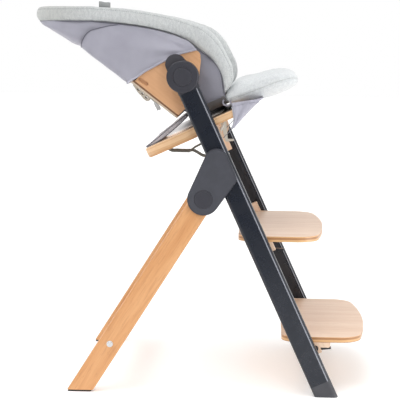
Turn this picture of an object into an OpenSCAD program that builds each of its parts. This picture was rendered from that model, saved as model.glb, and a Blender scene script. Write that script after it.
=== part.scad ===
// Convertible baby high chair, set up as a newborn recliner.
// Charcoal front legs carry a seat board, two footrests and, on two knobs at
// their tops, a plywood backrest that holds a padded recliner insert. Beech rear
// legs fold forward about the hinge pins until they lie along the front legs.
// Each board hangs on two wooden cheeks that slide in a notched rail on each
// front leg. The chair faces +X, its left side is +Y and the floor is Z = 0.

/* [Front legs] */
// Lean of the front legs from the vertical, degrees
leg_lean = 24.85; // [24:0.05:26]
// Width of a front leg seen from the side
leg_w = 46.5; // [45:0.5:48]
// Thickness of a front leg
leg_t = 26; // [25:0.5:27]
// Inner face of a front leg from the middle plane
leg_in = 232; // [230:1:240]
// Rounding of a leg's long edges
leg_round = 7; // [4:0.5:9]
// Height of the plastic foot cap along the leg
foot_cap_h = 32; // [26:1:40]

/* [Rear legs and fold] */
// Height of the fold pins above the floor
pivot_z = 432.8; // [425:0.2:440]
// Horizontal distance from the fold pins to the middle of a front foot
foot_x = 273.5; // [270:0.5:280]
// Angle of the rear legs from the vertical, degrees
rear_lean = 32; // [30:0.5:33]
// Width of a rear leg seen from the side
rear_w = 49; // [46:0.5:50]
// Thickness of a rear leg
rear_t = 23; // [20:0.5:24]
// Radius of the fold pins
fold_pin_r = 5; // [4:0.5:6]

/* [Backrest] */
// Distance of the recline knobs along the front leg from the floor
knob_s = 765.5; // [762:0.5:770]
// Radius of the knob housings
knob_r = 34.5; // [33:0.5:36]
// Radius of the push buttons in the knobs and in the hinge covers
button_r = 20; // [17:0.5:22]
// Push button travel
button_travel = 4; // [3:0.5:5]
// Slope of the plywood back panel from the horizontal, degrees
back_slope = 37.5; // [36:0.5:39]
// Thickness of the plywood back panel
back_t = 8; // [7:0.5:9]
// Thickness of the plywood side wings
wing_t = 10; // [9:0.5:11]

/* [Boards] */
// Thickness of the seat board
seat_t = 16; // [14:1:18]
// Thickness of the footrest boards
footrest_t = 12; // [10:1:13]
// Half width of the seat board and the footrests
board_half = 219; // [215:1:220]
// Depth of a footrest, front to back
footrest_d = 192; // [185:1:195]
// Height of the upper footrest's top face
upper_top_z = 348; // [344:1:352]
// Height of the lower footrest's top face
lower_top_z = 126; // [122:1:130]
// Pitch of the height notches in the rails
notch_pitch = 35; // [30:1:40]

/* [Recliner insert] */
// Half width of the padded rim
insert_half = 203; // [198:1:204]
// Thickness of the insert's fabric walls
insert_wall = 8; // [6:1:10]
// Thickness of the padded liner
liner_t = 20; // [16:1:24]
// Corner radius of the insert's head end, seen from above
head_corner_r = 150; // [120:5:160]

/* [Hidden] */
$fn = 96;
play = 0.3;
running_play = 0.05;
big = 1000;

// The fold pins are the datum of the design. The whole chair is then moved along
// X so that the origin lies under the middle of its overall length.
chair_rear_x = -402;
chair_front_x = 366;
centre_shift = -(chair_rear_x + chair_front_x) / 2;

leg_mid = leg_in + leg_t / 2;
leg_out = leg_in + leg_t;
rail_t = 6;
rail_in = leg_in - rail_t;
rail_half_w = 14;
groove_half_w = 6;
groove_d = 4;

cover_t = 10;
cover_r = 35;
cover_top = [27, 517];
cover_top_r = 25.5;
cover_front = [56, 477];
cover_front_r = 15;
cover_wall = 7;

shaft_r = 12;
knob_out = 262;
adaptor_in = 215;
adaptor_out = 230.5;
lobe = [-65.5, 720.5];
lobe_r = 22;
wing_in = adaptor_in - wing_t;

back_foot = [-62.5, 603];
back_len = 240;

seat_s = 656;
seat_rear_t = -144;
seat_front_t = 97;
cheek_in = 205;
cheek_out = 221;
lever_in = 190;
lever_out = 204;
rod_r = 4;

// Point (x, z) at a distance s up the front leg's middle line and t in front of it
function leg_point(s, t) = [
    foot_x - s * sin(leg_lean) + t * cos(leg_lean),
    s * cos(leg_lean) + t * sin(leg_lean)
];
knob = leg_point(knob_s, 0);

// ---- shared helpers ----

module placed() {
    translate([centre_shift, 0, 0]) children();
}

module on_side(side) {
    if (side > 0) children();
    else mirror([0, 1, 0]) children();
}

// Both sides at once
module both_sides() {
    children();
    mirror([0, 1, 0]) children();
}

// Extrudes an outline drawn in (x, z) from y0 to y1
module slab(y0, y1) {
    translate([0, y1, 0]) rotate([90, 0, 0]) linear_extrude(y1 - y0) children();
}

// Local axes along the front leg: x is in front of the leg, z is up the leg
module along_leg() {
    translate([foot_x, 0, 0]) rotate([0, -leg_lean, 0]) children();
}

// The same axes for an outline drawn in (t, s)
module leg_outline() {
    translate([foot_x, 0]) rotate(leg_lean) children();
}

// Local axes along the rear leg, from the fold pin: z is up the leg
module along_rear_leg() {
    translate([0, 0, pivot_z]) rotate([0, rear_lean, 0]) children();
}

// Local axes on the back panel: x runs up its outer face, -z points at the child
module on_back() {
    translate([back_foot[0], 0, back_foot[1]]) rotate([0, 180 + back_slope, 0]) children();
}

// Cylinder along Y from y0 to y1 about (x, z)
module y_cylinder(centre, r, y0, y1) {
    translate([centre[0], y1, centre[1]]) rotate([90, 0, 0]) cylinder(h = y1 - y0, r = r);
}

// Disc along Y whose outer edge, at y1, is rounded
module y_rounded_disc(centre, r, y0, y1, edge) {
    translate([centre[0], y0, centre[1]]) rotate([-90, 0, 0]) rotate_extrude() {
        square([r - edge, y1 - y0]);
        square([r, y1 - y0 - edge]);
        translate([r - edge, y1 - y0 - edge]) intersection() {
            circle(edge, $fn = 48);
            square(edge);
        }
    }
}

// Rectangle about the origin with rounded corners
module rounded_rect(w, h, r) {
    square([w, h - 2 * r], center = true);
    square([w - 2 * r, h], center = true);
    for (sx = [-1, 1], sy = [-1, 1])
        translate([sx * (w / 2 - r), sy * (h / 2 - r)]) circle(r, $fn = 48);
}

// Two circles joined by their outer tangents
module link(p1, r1, p2, r2) {
    d = norm(p2 - p1);
    along = atan2(p2[1] - p1[1], p2[0] - p1[0]);
    open = acos((r1 - r2) / d);
    translate(p1) circle(r1);
    translate(p2) circle(r2);
    polygon([
        p1 + r1 * [cos(along + open), sin(along + open)],
        p2 + r2 * [cos(along + open), sin(along + open)],
        p2 + r2 * [cos(along - open), sin(along - open)],
        p1 + r1 * [cos(along - open), sin(along - open)]
    ]);
}

// ---- front legs ----

socket_w = 16.4;
socket_t = 12.4;
socket_d = 30;
leg_top_s = 731;
front_round = 9;

// Section of a front leg: its outer front edge has the largest radius
module leg_section() {
    intersection() {
        rounded_rect(leg_w, leg_t, leg_round);
        union() {
            translate([-leg_w, -leg_t]) square([2 * leg_w, 1.5 * leg_t - front_round]);
            translate([-leg_w, -leg_t]) square([1.5 * leg_w - front_round, 2 * leg_t]);
            translate([leg_w / 2 - front_round, leg_t / 2 - front_round]) circle(front_round, $fn = 64);
        }
    }
}

module front_leg(side) {
    color([0.18, 0.19, 0.22]) placed() on_side(side) difference() {
        along_leg() translate([0, leg_mid, foot_cap_h])
            linear_extrude(leg_top_s - foot_cap_h) leg_section();
        along_leg() translate([0, leg_mid, 0]) {
            translate([-socket_w / 2, -socket_t / 2, foot_cap_h - 1])
                cube([socket_w, socket_t, socket_d + 1]);
            translate([-socket_w / 2, -socket_t / 2, leg_top_s - socket_d])
                cube([socket_w, socket_t, socket_d + 1]);
        }
    }
}

// Plug that fills a leg's end socket, from s0 up to s1
module leg_plug(s0, s1) {
    translate([-socket_w / 2 + 0.2, leg_mid - socket_t / 2 + 0.2, s0])
        cube([socket_w - 0.4, socket_t - 0.4, s1 - s0]);
}

module foot_cap(side) {
    color([0.26, 0.26, 0.28]) placed() on_side(side) difference() {
        along_leg() {
            translate([0, leg_mid, -30])
                linear_extrude(foot_cap_h + 30) leg_section();
            leg_plug(foot_cap_h - 0.5, foot_cap_h + socket_d - 2);
        }
        translate([foot_x - 100, leg_in - 50, -100]) cube([200, 150, 100]);
    }
}

rail_s0 = 46;
rail_s1 = 716;
first_notch_s = 90;
notch_count = 17;

module adjustment_rail(side) {
    color([0.12, 0.12, 0.13]) placed() on_side(side) along_leg() difference() {
        translate([-rail_half_w, rail_in, rail_s0])
            cube([2 * rail_half_w, rail_t, rail_s1 - rail_s0]);
        translate([-groove_half_w, rail_in - 1, rail_s0 + 6])
            cube([2 * groove_half_w, groove_d + 1, rail_s1 - rail_s0 - 12]);
        for (i = [0 : notch_count - 1])
            translate([-rail_half_w + 3, rail_in - 1, first_notch_s + i * notch_pitch])
                cube([2 * rail_half_w - 6, groove_d + 1, 8]);
    }
}

crossbar_s = 34;
module front_crossbar() {
    color([0.18, 0.19, 0.22]) placed() along_leg()
        translate([-13, 0, crossbar_s]) rotate([90, 0, 0])
            linear_extrude(2 * leg_in, center = true) rounded_rect(16, 22, 5);
}

// ---- knobs ----

button_floor = 245;

module knob_housing(side) {
    color([0.27, 0.27, 0.3]) placed() on_side(side) difference() {
        union() {
            y_rounded_disc(knob, knob_r, leg_in - 1, knob_out, 3);
            along_leg() translate([0, leg_mid, leg_top_s])
                linear_extrude(knob_s - leg_top_s) rounded_rect(leg_w + 1, leg_t + 1, leg_round);
            along_leg() leg_plug(leg_top_s - socket_d + 2, leg_top_s + 0.5);
        }
        y_cylinder(knob, button_r + play, button_floor, knob_out + 1);
        y_cylinder(knob, shaft_r + running_play, leg_in - 2, button_floor - 3);
    }
}

module knob_button(side) {
    color([0.24, 0.24, 0.27]) placed() on_side(side)
        y_rounded_disc(knob, button_r, button_floor + button_travel + 2, knob_out + 1, 1.5);
}

// A spring washer under each push button
module button_springs() {
    color("silver") placed() both_sides() {
        for (spot = [[knob, button_floor], [[0, pivot_z], fold_button_floor]])
            difference() {
                y_cylinder(spot[0], 12, spot[1], spot[1] + 1.5);
                y_cylinder(spot[0], 9, spot[1] - 1, spot[1] + 3);
            }
    }
}

// ---- fold hinge ----

fold_button_floor = leg_out + 2.5;

module cover_outline(inset) {
    link([0, pivot_z], cover_r - inset, cover_top, cover_top_r - inset);
    link([0, pivot_z], cover_r - inset, cover_front, cover_front_r - inset);
    link(cover_top, cover_top_r - inset, cover_front, cover_front_r - inset);
    polygon([[0, pivot_z], cover_top, cover_front]);
}

// The part of the housing wall that closes its back, clear of the swinging leg
module hinge_wall_outline() {
    difference() {
        cover_outline(0);
        cover_outline(cover_wall);
        translate([0, pivot_z]) rotate(65) translate([-big, -big]) square([big + 8, 2 * big]);
        leg_outline() translate([-leg_w / 2 - 0.2, 0]) square([big, big]);
    }
}

module hinge_cover_outer(side) {
    color([0.32, 0.32, 0.35]) placed() on_side(side) difference() {
        union() {
            slab(leg_out, leg_out + cover_t - 2) cover_outline(0);
            slab(leg_out, leg_out + cover_t) cover_outline(2);
            slab(leg_mid, leg_out) hinge_wall_outline();
        }
        y_cylinder([0, pivot_z], button_r + play, fold_button_floor, leg_out + cover_t + 1);
        y_cylinder([0, pivot_z], fold_pin_r + 0.02, leg_out - 1, fold_button_floor - 0.4);
    }
}

module hinge_cover_inner(side) {
    color([0.28, 0.28, 0.31]) placed() on_side(side) difference() {
        union() {
            slab(leg_in - cover_t, leg_in) difference() {
                cover_outline(1);
                leg_outline() translate([-rail_half_w - 2, 0]) square([big, big]);
            }
            slab(leg_in, leg_mid) hinge_wall_outline();
        }
        y_cylinder([0, pivot_z], fold_pin_r + 0.02, leg_in - cover_t + 1.9, leg_in + 1);
    }
}

module fold_pin(side) {
    color([0.75, 0.76, 0.78]) placed() on_side(side)
        y_cylinder([0, pivot_z], fold_pin_r, leg_in - cover_t + 2, fold_button_floor - 0.5);
}

module fold_button(side) {
    color([0.28, 0.28, 0.31]) placed() on_side(side)
        y_rounded_disc([0, pivot_z], button_r, fold_button_floor + button_travel + 2,
                       leg_out + cover_t + 1, 1);
}

// ---- rear legs ----

rear_len = pivot_z / cos(rear_lean);
pad_h = 4;

module rear_leg(side) {
    color([0.88, 0.66, 0.44]) placed() on_side(side) difference() {
        union() {
            along_rear_leg() translate([0, leg_mid, -rear_len - 30])
                linear_extrude(rear_len + 30) rounded_rect(rear_w, rear_t, 5);
            y_cylinder([0, pivot_z], rear_w / 2, leg_mid - rear_t / 2, leg_mid + rear_t / 2);
        }
        y_cylinder([0, pivot_z], fold_pin_r + running_play, leg_in - 5, leg_out + 5);
        translate([-big / 2, 0, pad_h - 200]) cube([big, big, 200]);
        along_rear_leg() translate([0, 0, -crossbar_drop]) rotate([-90, 0, 0])
            cylinder(h = big, r = bolt_r + running_play);
    }
}

module rear_foot_pad(side) {
    color([0.1, 0.1, 0.11]) placed() on_side(side) intersection() {
        along_rear_leg() translate([0, leg_mid, -rear_len - 30])
            linear_extrude(100) rounded_rect(rear_w - 5, rear_t - 3, 4);
        translate([-big / 2, 0, 0]) cube([big, big, pad_h]);
    }
}

crossbar_drop = 382;
crossbar_w = 40;
crossbar_t = 18;
bolt_r = 3;

module rear_crossbar() {
    color([0.88, 0.66, 0.44]) placed() difference() {
        along_rear_leg() translate([0, 0, -crossbar_drop]) rotate([90, 0, 0])
            linear_extrude(2 * (leg_mid - rear_t / 2), center = true)
                rounded_rect(crossbar_t, crossbar_w, 4);
        both_sides() along_rear_leg()
            translate([0, leg_mid - rear_t / 2 - 35, -crossbar_drop]) rotate([-90, 0, 0])
                cylinder(h = 60, r = bolt_r + running_play);
    }
}

module crossbar_bolts() {
    rear_out = leg_mid + rear_t / 2;
    color([0.8, 0.8, 0.8]) placed() both_sides() along_rear_leg()
        translate([0, 0, -crossbar_drop]) {
            translate([0, rear_out, 0]) rotate([-90, 0, 0]) cylinder(h = 1.2, r = 7);
            translate([0, rear_out + 1.2, 0]) rotate([-90, 0, 0]) difference() {
                cylinder(h = 3, r1 = 5.4, r2 = 4.6);
                translate([0, 0, 1.2]) cylinder(h = 3, r = 2.6, $fn = 6);
            }
            translate([0, rear_out - rear_t - 30, 0]) rotate([-90, 0, 0])
                cylinder(h = rear_t + 30, r = bolt_r);
        }
}

// ---- backrest ----

module back_panel() {
    strap_slot_u = 168;
    color([0.86, 0.7, 0.5]) placed() on_back() difference() {
        translate([back_len / 2, 0, -back_t]) linear_extrude(back_t)
            rounded_rect(back_len, 2 * adaptor_in, 14);
        for (y = [-110, -45, 45, 110])
            translate([strap_slot_u, y - 16, -back_t - 1]) cube([5, 32, back_t + 2]);
        translate([24, -30, -back_t - 1]) cube([5, 60, back_t + 2]);
    }
}

// Side outline of a plywood wing
wing_points = [
    [-58.5, 610], [-154, 683.5], [-141, 697], [-92, 731], [-50, 747], [-27, 751],
    [-13, 740], [-11.5, 728], [-15, 694], [-20, 682], [-45, 624]
];

module side_wing(side) {
    color([0.89, 0.67, 0.45]) placed() on_side(side) difference() {
        slab(wing_in, adaptor_in) {
            polygon(wing_points);
            translate([-25, 738.5]) circle(12.5);
        }
        slab(wing_in + 5, adaptor_in + 1) link([-142.5, 686.6], 4, [-128.5, 676.9], 4);
        on_back() translate([-50, 0, -back_t]) cube([400, 300, 100]);
        for (spot = wing_bolts)
            y_cylinder(spot, bolt_r + running_play, wing_in - 1, adaptor_in + 1);
    }
}

wing_bolts = [knob + [-19, -12], knob + [14, 16], lobe + [-8, 4]];

module recline_adaptor(side) {
    color([0.2, 0.2, 0.23]) placed() on_side(side) {
        slab(adaptor_in, adaptor_out) {
            link(knob, knob_r - 8, lobe, lobe_r);
            translate(knob) circle(knob_r - 1);
        }
        y_cylinder(knob, shaft_r, adaptor_out - 1, button_floor - 4);
        for (spot = wing_bolts) {
            y_cylinder(spot, bolt_r, wing_in, adaptor_in + 1);
            y_cylinder(spot, 5.5, wing_in - 2, wing_in);
        }
    }
}

// ---- recliner insert ----

// Upper edge of the padded rim, seen from the side, from the head to the leg rest
rim_top = [
    [-402, 822], [-398, 834], [-380, 842], [-351, 845], [-240, 843], [-124, 829],
    [-58, 812], [-4, 800], [29, 779], [57, 737], [66, 700], [62, 678], [50, 661]
];
// Lower edge of the rim, from the leg rest back to the head
rim_bottom = [
    [39, 655], [34, 698], [8, 734.5], [-25, 751], [-58, 777], [-123, 793],
    [-232, 809.4], [-320, 810.6], [-388, 812]
];

// Outline of the insert seen from above, drawn in by inset
module insert_plan(inset) {
    r = head_corner_r - inset;
    half = insert_half - inset;
    rear = chair_rear_x + inset;
    translate([rear + r, -half]) square([500, 2 * half]);
    translate([rear, -half + r]) square([r + 1, 2 * (half - r)]);
    for (sy = [-1, 1]) translate([rear + r, sy * (half - r)]) circle(r, $fn = 128);
}

module plan_prism(inset) {
    translate([0, 0, 500]) linear_extrude(500) insert_plan(inset);
}

rim_w = 26;
module insert_rim() {
    color([0.8, 0.81, 0.81]) placed() intersection() {
        slab(-insert_half, insert_half) difference() {
            polygon(concat(rim_top, rim_bottom));
            offset(play) polygon(leg_rest_points);
        }
        difference() {
            plan_prism(0);
            plan_prism(rim_w);
        }
    }
}

// Side outline of the insert's fabric body, under the rim
shell_points = [
    [-389, 811.5], [-283, 755.5], [-194, 697], [-160, 677], [-146, 684], [-60, 618],
    [-38, 607], [-8, 607], [52, 634], [39, 654], [33.5, 697.5], [7.5, 734],
    [-25.5, 750.5], [-58.5, 776.5], [-123.5, 792.5], [-232.5, 809], [-320, 810.2], [-388, 811.6]
];
// Side outline of the space inside the fabric body
cavity_points = [
    [-366, 820], [-283, 768], [-235, 750.5], [-135, 690], [-60, 632], [-36, 618],
    [-12, 617], [60, 649], [60, 900], [-366, 900]
];
// Upper face of the liner inside that space
liner_top_points = [
    [-367, 821], [-275, 790], [-225, 770], [-125, 710], [-50, 652], [-32, 641],
    [-16, 640], [60, 673], [60, 901], [-367, 901]
];

// Clearance for the plywood panel that the insert's pocket slips over
module back_panel_pocket() {
    on_back() translate([-60, -adaptor_in - 1, -back_t - 0.5])
        cube([back_len + 60.5, 2 * adaptor_in + 2, back_t + 1]);
}

module insert_shell() {
    color([0.63, 0.63, 0.7]) placed() difference() {
        intersection() {
            slab(-insert_half + 2, insert_half - 2) polygon(shell_points);
            plan_prism(2);
        }
        intersection() {
            slab(-insert_half, insert_half) polygon(cavity_points);
            plan_prism(2 + insert_wall);
        }
        back_panel_pocket();
    }
}

// The padded tub inside the fabric body; its side walls fill the space under the rim
module insert_liner() {
    color([0.78, 0.79, 0.8]) placed() difference() {
        intersection() {
            slab(-insert_half, insert_half) intersection() {
                polygon(cavity_points);
                polygon(shell_points);
            }
            plan_prism(2 + insert_wall + play);
        }
        intersection() {
            slab(-insert_half, insert_half) polygon(liner_top_points);
            plan_prism(rim_w + 1);
        }
        slab(-insert_half, insert_half) translate([38, 500]) square(500);
        back_panel_pocket();
    }
}

// Side outline of the leg rest, from its rear end over the top
leg_rest_points = [
    [39, 652], [42, 659], [49, 669], [58, 675.5], [68, 680.5], [84, 685], [111, 690],
    [137, 697.5], [162, 703], [176, 704.5], [188, 702.5], [198, 697.5], [204, 690.5], [204.5, 686],
    [200, 683], [189, 677], [163, 665], [143, 657], [122, 650], [94, 643], [60, 636], [48, 638],
    [41, 645]
];
leg_rest_half = 202;
leg_rest_front_x = 204.5;

module leg_rest() {
    r = 55;
    color([0.84, 0.85, 0.85]) placed() intersection() {
        slab(-leg_rest_half, leg_rest_half) difference() {
            polygon(leg_rest_points);
            offset(play) polygon(shell_points);
        }
        translate([0, 0, 500]) linear_extrude(500) {
            translate([0, -leg_rest_half]) square([leg_rest_front_x - r, 2 * leg_rest_half]);
            translate([0, -leg_rest_half + r])
                square([leg_rest_front_x, 2 * (leg_rest_half - r)]);
            for (sy = [-1, 1])
                translate([leg_rest_front_x - r, sy * (leg_rest_half - r)]) circle(r);
        }
    }
}

module rim_label() {
    color([0.62, 0.64, 0.64]) placed() slab(-191, -189.4)
        polygon([[-236, 843.4], [-211, 840.4], [-211, 850.5], [-236, 853]]);
}

// ---- harness ----

module harness_straps() {
    color([0.25, 0.26, 0.28]) placed() {
        for (y = [-58, 32])
            slab(y, y + 26) polygon([
                [-225.5, 771.4], [-124.4, 711.3], [-48.9, 653.4],
                [-46.5, 656.5], [-122.5, 714.6], [-223.8, 774.8]
            ]);
        for (y = [-150, 58.5])
            slab(y, y + 91.5) polygon([[-59.5, 660.2], [-33, 642.5], [-31.4, 645], [-58, 662.7]]);
        slab(-14, 14) polygon([[-8, 646], [36, 664.5], [35, 667], [-9, 648.5]]);
    }
}

buckle_spot = [-8, 659.5];
buckle_button_r = 11;
module harness_buckle() {
    color([0.2, 0.2, 0.22]) placed() translate([buckle_spot[0], 0, buckle_spot[1]])
        rotate([0, -24, 0]) difference() {
            translate([0, 0, -9]) linear_extrude(16) rounded_rect(46, 52, 10);
            cylinder(h = 20, r = buckle_button_r + play);
        }
}

module buckle_button() {
    color([0.75, 0.2, 0.18]) placed() translate([buckle_spot[0], 0, buckle_spot[1]])
        rotate([0, -24, 0]) translate([0, 0, 4]) cylinder(h = 4.5, r = buckle_button_r);
}

// Strap adjusters that lie on the outside of the back panel, thicker towards the bottom,
// with three openings through each
strap_y = 165;
adjuster_half = 17;
adjuster_hole = 5;

module webbing_adjusters() {
    color([0.78, 0.78, 0.76]) placed() on_back() both_sides()
        slab(strap_y - adjuster_half, strap_y + adjuster_half) difference() {
            polygon([[122, 0.5], [121, 5], [104, 10.5], [84, 14.5], [77, 14.5], [73, 12], [72, 0.5]]);
            for (spot = [[79, 6], [91, 4.5], [103, 3]])
                translate(spot) square([adjuster_hole, adjuster_hole - 1]);
        }
}

// Loose strap ends below the adjusters
module webbing_tails() {
    color([0.74, 0.74, 0.73]) placed() on_back() both_sides()
        slab(strap_y - 12.5, strap_y + 12.5)
            polygon([[71, 1.5], [44, 9], [45, 12], [71.9, 4.5]]);
}

// ---- seat ----

seat_corner_r = 28;
seat_nose_r = 6;
batten_t = 6.5;
batten_in = 196;

// Seat board with a rounded rear edge and a thin batten along each side of its underside
module seat_board() {
    depth = seat_front_t - seat_rear_t;
    color([0.9, 0.72, 0.5]) placed() intersection() {
        along_leg() translate([seat_rear_t + depth / 2, 0, seat_s - seat_t - batten_t])
            linear_extrude(seat_t + batten_t) rounded_rect(depth, 2 * board_half, seat_corner_r);
        union() {
            slab(-board_half, board_half) leg_outline() {
                translate([seat_rear_t + seat_nose_r, seat_s - seat_t])
                    square([depth - seat_nose_r, seat_t]);
                translate([seat_rear_t, seat_s - seat_t])
                    square([seat_nose_r + 1, seat_t - seat_nose_r]);
                translate([seat_rear_t + seat_nose_r, seat_s - seat_nose_r]) circle(seat_nose_r);
            }
            both_sides() slab(batten_in, board_half) leg_outline() {
                translate([seat_rear_t + batten_t, seat_s - seat_t - batten_t])
                    square([110, batten_t + 1]);
                translate([seat_rear_t + batten_t, seat_s - seat_t]) circle(batten_t);
            }
        }
    }
}

// Tongue of a cheek that runs in the rail's groove, from s0 to s1
module cheek_tongue(s0, s1) {
    translate([-groove_half_w + play, cheek_out - 1, s0])
        cube([2 * (groove_half_w - play), rail_in + groove_d - play - cheek_out + 1, s1 - s0]);
}

seat_rod = leg_point(618, 14);

// Outline of a seat cheek along the leg: wide under the board, with a narrower foot
seat_cheek_points = [
    [-16, 551], [7, 551], [7, 569], [1, 577], [3, 586], [11, 592], [18, 598], [23, 606], [25, 614],
    [25, 640], [-16, 640]
];
seat_cheek_bottom_s = 551;

module seat_cheek(side) {
    color([0.93, 0.82, 0.7]) placed() on_side(side) difference() {
        union() {
            slab(cheek_in, cheek_out) leg_outline() polygon(seat_cheek_points);
            along_leg() cheek_tongue(seat_cheek_bottom_s, seat_s - seat_t);
        }
        y_cylinder(seat_rod, rod_r + running_play, cheek_in - 1, cheek_out + 1);
    }
}

module seat_pad() {
    color([0.74, 0.74, 0.76]) placed() along_leg()
        translate([-26, 0, seat_s + play]) linear_extrude(6) rounded_rect(150, 360, 20);
}

// Fabric that hangs from the leg rest and wraps the front end of the seat board
apron_points = [
    [60, 633.5], [70, 634.8], [126, 647.5], [124, 643], [62, 581], [48, 569], [50, 575], [60, 592]
];
apron_hollow = [
    [40, 628], [72, 628], [116, 641], [60, 585], [40, 580]
];
apron_half = 222;

module front_apron() {
    color([0.66, 0.65, 0.73]) placed() difference() {
        slab(-apron_half, apron_half) polygon(apron_points);
        slab(-apron_half + 2.5, apron_half - 2.5) polygon(apron_hollow);
        along_leg() translate([-200, -board_half - play, seat_s - seat_t - play])
            cube([200 + seat_front_t + play, 2 * (board_half + play), seat_t + 2 * play]);
    }
}

// Padded flap that wraps the rear end of the seat board and runs up to the insert
rear_flap_half = 185;

module rear_strap() {
    color([0.6, 0.6, 0.66]) placed() slab(-rear_flap_half, rear_flap_half) {
        leg_outline() difference() {
            translate([seat_rear_t - 3, seat_s - seat_t - 3]) square([12, seat_t + 6]);
            translate([seat_rear_t - play, seat_s - seat_t - play]) square([60, seat_t + 2 * play]);
        }
        polygon([
            [-134, 535.5], [-136, 539], [-111, 562], [-91, 578], [-68, 591.5], [-65, 588.5],
            [-86, 571.5], [-106, 553.5], [-119, 543]
        ]);
    }
}

// Crotch webbing and its slider, hanging below the seat board
module under_seat_webbing() {
    color([0.36, 0.37, 0.35]) placed() slab(-13, 13) {
        difference() {
            polygon([[-96, 526], [-84, 511], [-46, 508], [-44, 511], [-82, 514.5], [-93, 527.5]]);
            leg_outline() translate([-200, seat_s - seat_t - play]) square([400, 100]);
        }
        polygon([[-47, 508], [-30, 521], [-18, 545], [-20.5, 546.5], [-32.5, 523], [-48.5, 511]]);
    }
}

// ---- footrests ----

// Plan outline of a footrest: bowed front edge, rounded corners
module footrest_plan(front_x) {
    bow_r = 1040;
    corner_r = 50;
    rear_r = 30;
    rear_x = front_x - footrest_d;
    corner_y = board_half - corner_r;
    corner_x = front_x - bow_r + sqrt(pow(bow_r - corner_r, 2) - pow(corner_y, 2));
    spread = corner_y / sqrt(pow(bow_r - corner_r, 2) - pow(corner_y, 2));
    wedge = function (x) (x - front_x + bow_r) * spread;
    x0 = corner_x - 20;
    x1 = front_x + 20;
    translate([rear_x + rear_r, -board_half])
        square([corner_x - rear_x - rear_r, 2 * board_half]);
    translate([rear_x, -board_half + rear_r])
        square([corner_x - rear_x, 2 * (board_half - rear_r)]);
    for (sy = [-1, 1]) {
        translate([rear_x + rear_r, sy * (board_half - rear_r)]) circle(rear_r);
        translate([corner_x, sy * corner_y]) circle(corner_r);
    }
    intersection() {
        translate([front_x - bow_r, 0]) circle(bow_r, $fn = 720);
        polygon([[x0, -wedge(x0)], [x1, -wedge(x1)], [x1, wedge(x1)], [x0, wedge(x0)]]);
    }
}

upper_front_x = 267;
lower_front_x = 366;

module footrest_board(front_x, top_z) {
    translate([0, 0, top_z - footrest_t]) linear_extrude(footrest_t) footrest_plan(front_x);
}

upper_rod = leg_point(347, 14);
upper_tab_s = 405;
upper_cheek_bottom_s = 338;

// Outline of an upper footrest cheek with its tab above the board
module upper_cheek_outline(grow) {
    leg_outline() {
        translate([-16 - grow, 300]) square([25 + 2 * grow, upper_tab_s - 300]);
    }
}

module upper_cheek(side) {
    color([0.93, 0.82, 0.7]) placed() on_side(side) difference() {
        union() {
            slab(cheek_in, cheek_out) intersection() {
                union() {
                    upper_cheek_outline(0);
                    intersection() {
                        leg_outline() translate([-16, 300]) square([45, 100]);
                        translate([-big, -big]) square([2 * big, big + upper_top_z - footrest_t]);
                    }
                }
                leg_outline() translate([-50, upper_cheek_bottom_s]) square([200, 200]);
            }
            along_leg() cheek_tongue(upper_cheek_bottom_s, upper_tab_s);
        }
        y_cylinder(upper_rod, rod_r + running_play, cheek_in - 1, cheek_out + 1);
    }
}

module upper_footrest_board() {
    color([0.9, 0.8, 0.7]) placed() difference() {
        footrest_board(upper_front_x, upper_top_z);
        both_sides() slab(cheek_in - play, big) upper_cheek_outline(play);
    }
}

lower_rod = [249, 101];
lower_cheek_bottom_s = 88;

module lower_cheek(side) {
    under_z = lower_top_z - footrest_t;
    color([0.93, 0.82, 0.7]) placed() on_side(side) difference() {
        union() {
            slab(cheek_in, cheek_out) intersection() {
                union() {
                    leg_outline() translate([-16, lower_cheek_bottom_s]) square([46, 100]);
                    translate([250, 103]) square([26, 20]);
                    translate([276, 108]) circle(5.5);
                    translate([276, 108]) square([5.5, 20]);
                }
                translate([-big, -big]) square([2 * big, big + under_z]);
            }
            intersection() {
                along_leg() cheek_tongue(lower_cheek_bottom_s, 200);
                cube([big, big, under_z]);
            }
        }
        y_cylinder(lower_rod, rod_r + running_play, cheek_in - 1, cheek_out + 1);
    }
}

module lower_footrest_board() {
    color([0.9, 0.8, 0.7]) placed() footrest_board(lower_front_x, lower_top_z);
}

// ---- release levers: two levers on one rod under each board ----

module release_levers(rod, finger, tip) {
    y_cylinder(rod, rod_r, -cheek_out - 1, cheek_out + 1);
    both_sides() {
        y_cylinder(rod, rod_r + 2.5, cheek_out + 0.1, cheek_out + 2.6);
        slab(lever_in, lever_out) {
            link(rod, rod_r + 3, finger, 3);
            link(finger, 3, tip, 2.2);
        }
    }
}

module seat_release_levers() {
    color([0.85, 0.85, 0.84]) placed()
        release_levers(seat_rod, leg_point(577, 4), leg_point(571, 19));
}

module upper_release_levers() {
    color([0.1, 0.1, 0.1]) placed()
        release_levers(upper_rod, upper_rod + [12, -5], upper_rod + [33, -4]);
}

module lower_release_levers() {
    color([0.1, 0.1, 0.1]) placed()
        release_levers(lower_rod, lower_rod + [14, -4.5], lower_rod + [33, -3]);
}

// ---- the chair ----

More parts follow.
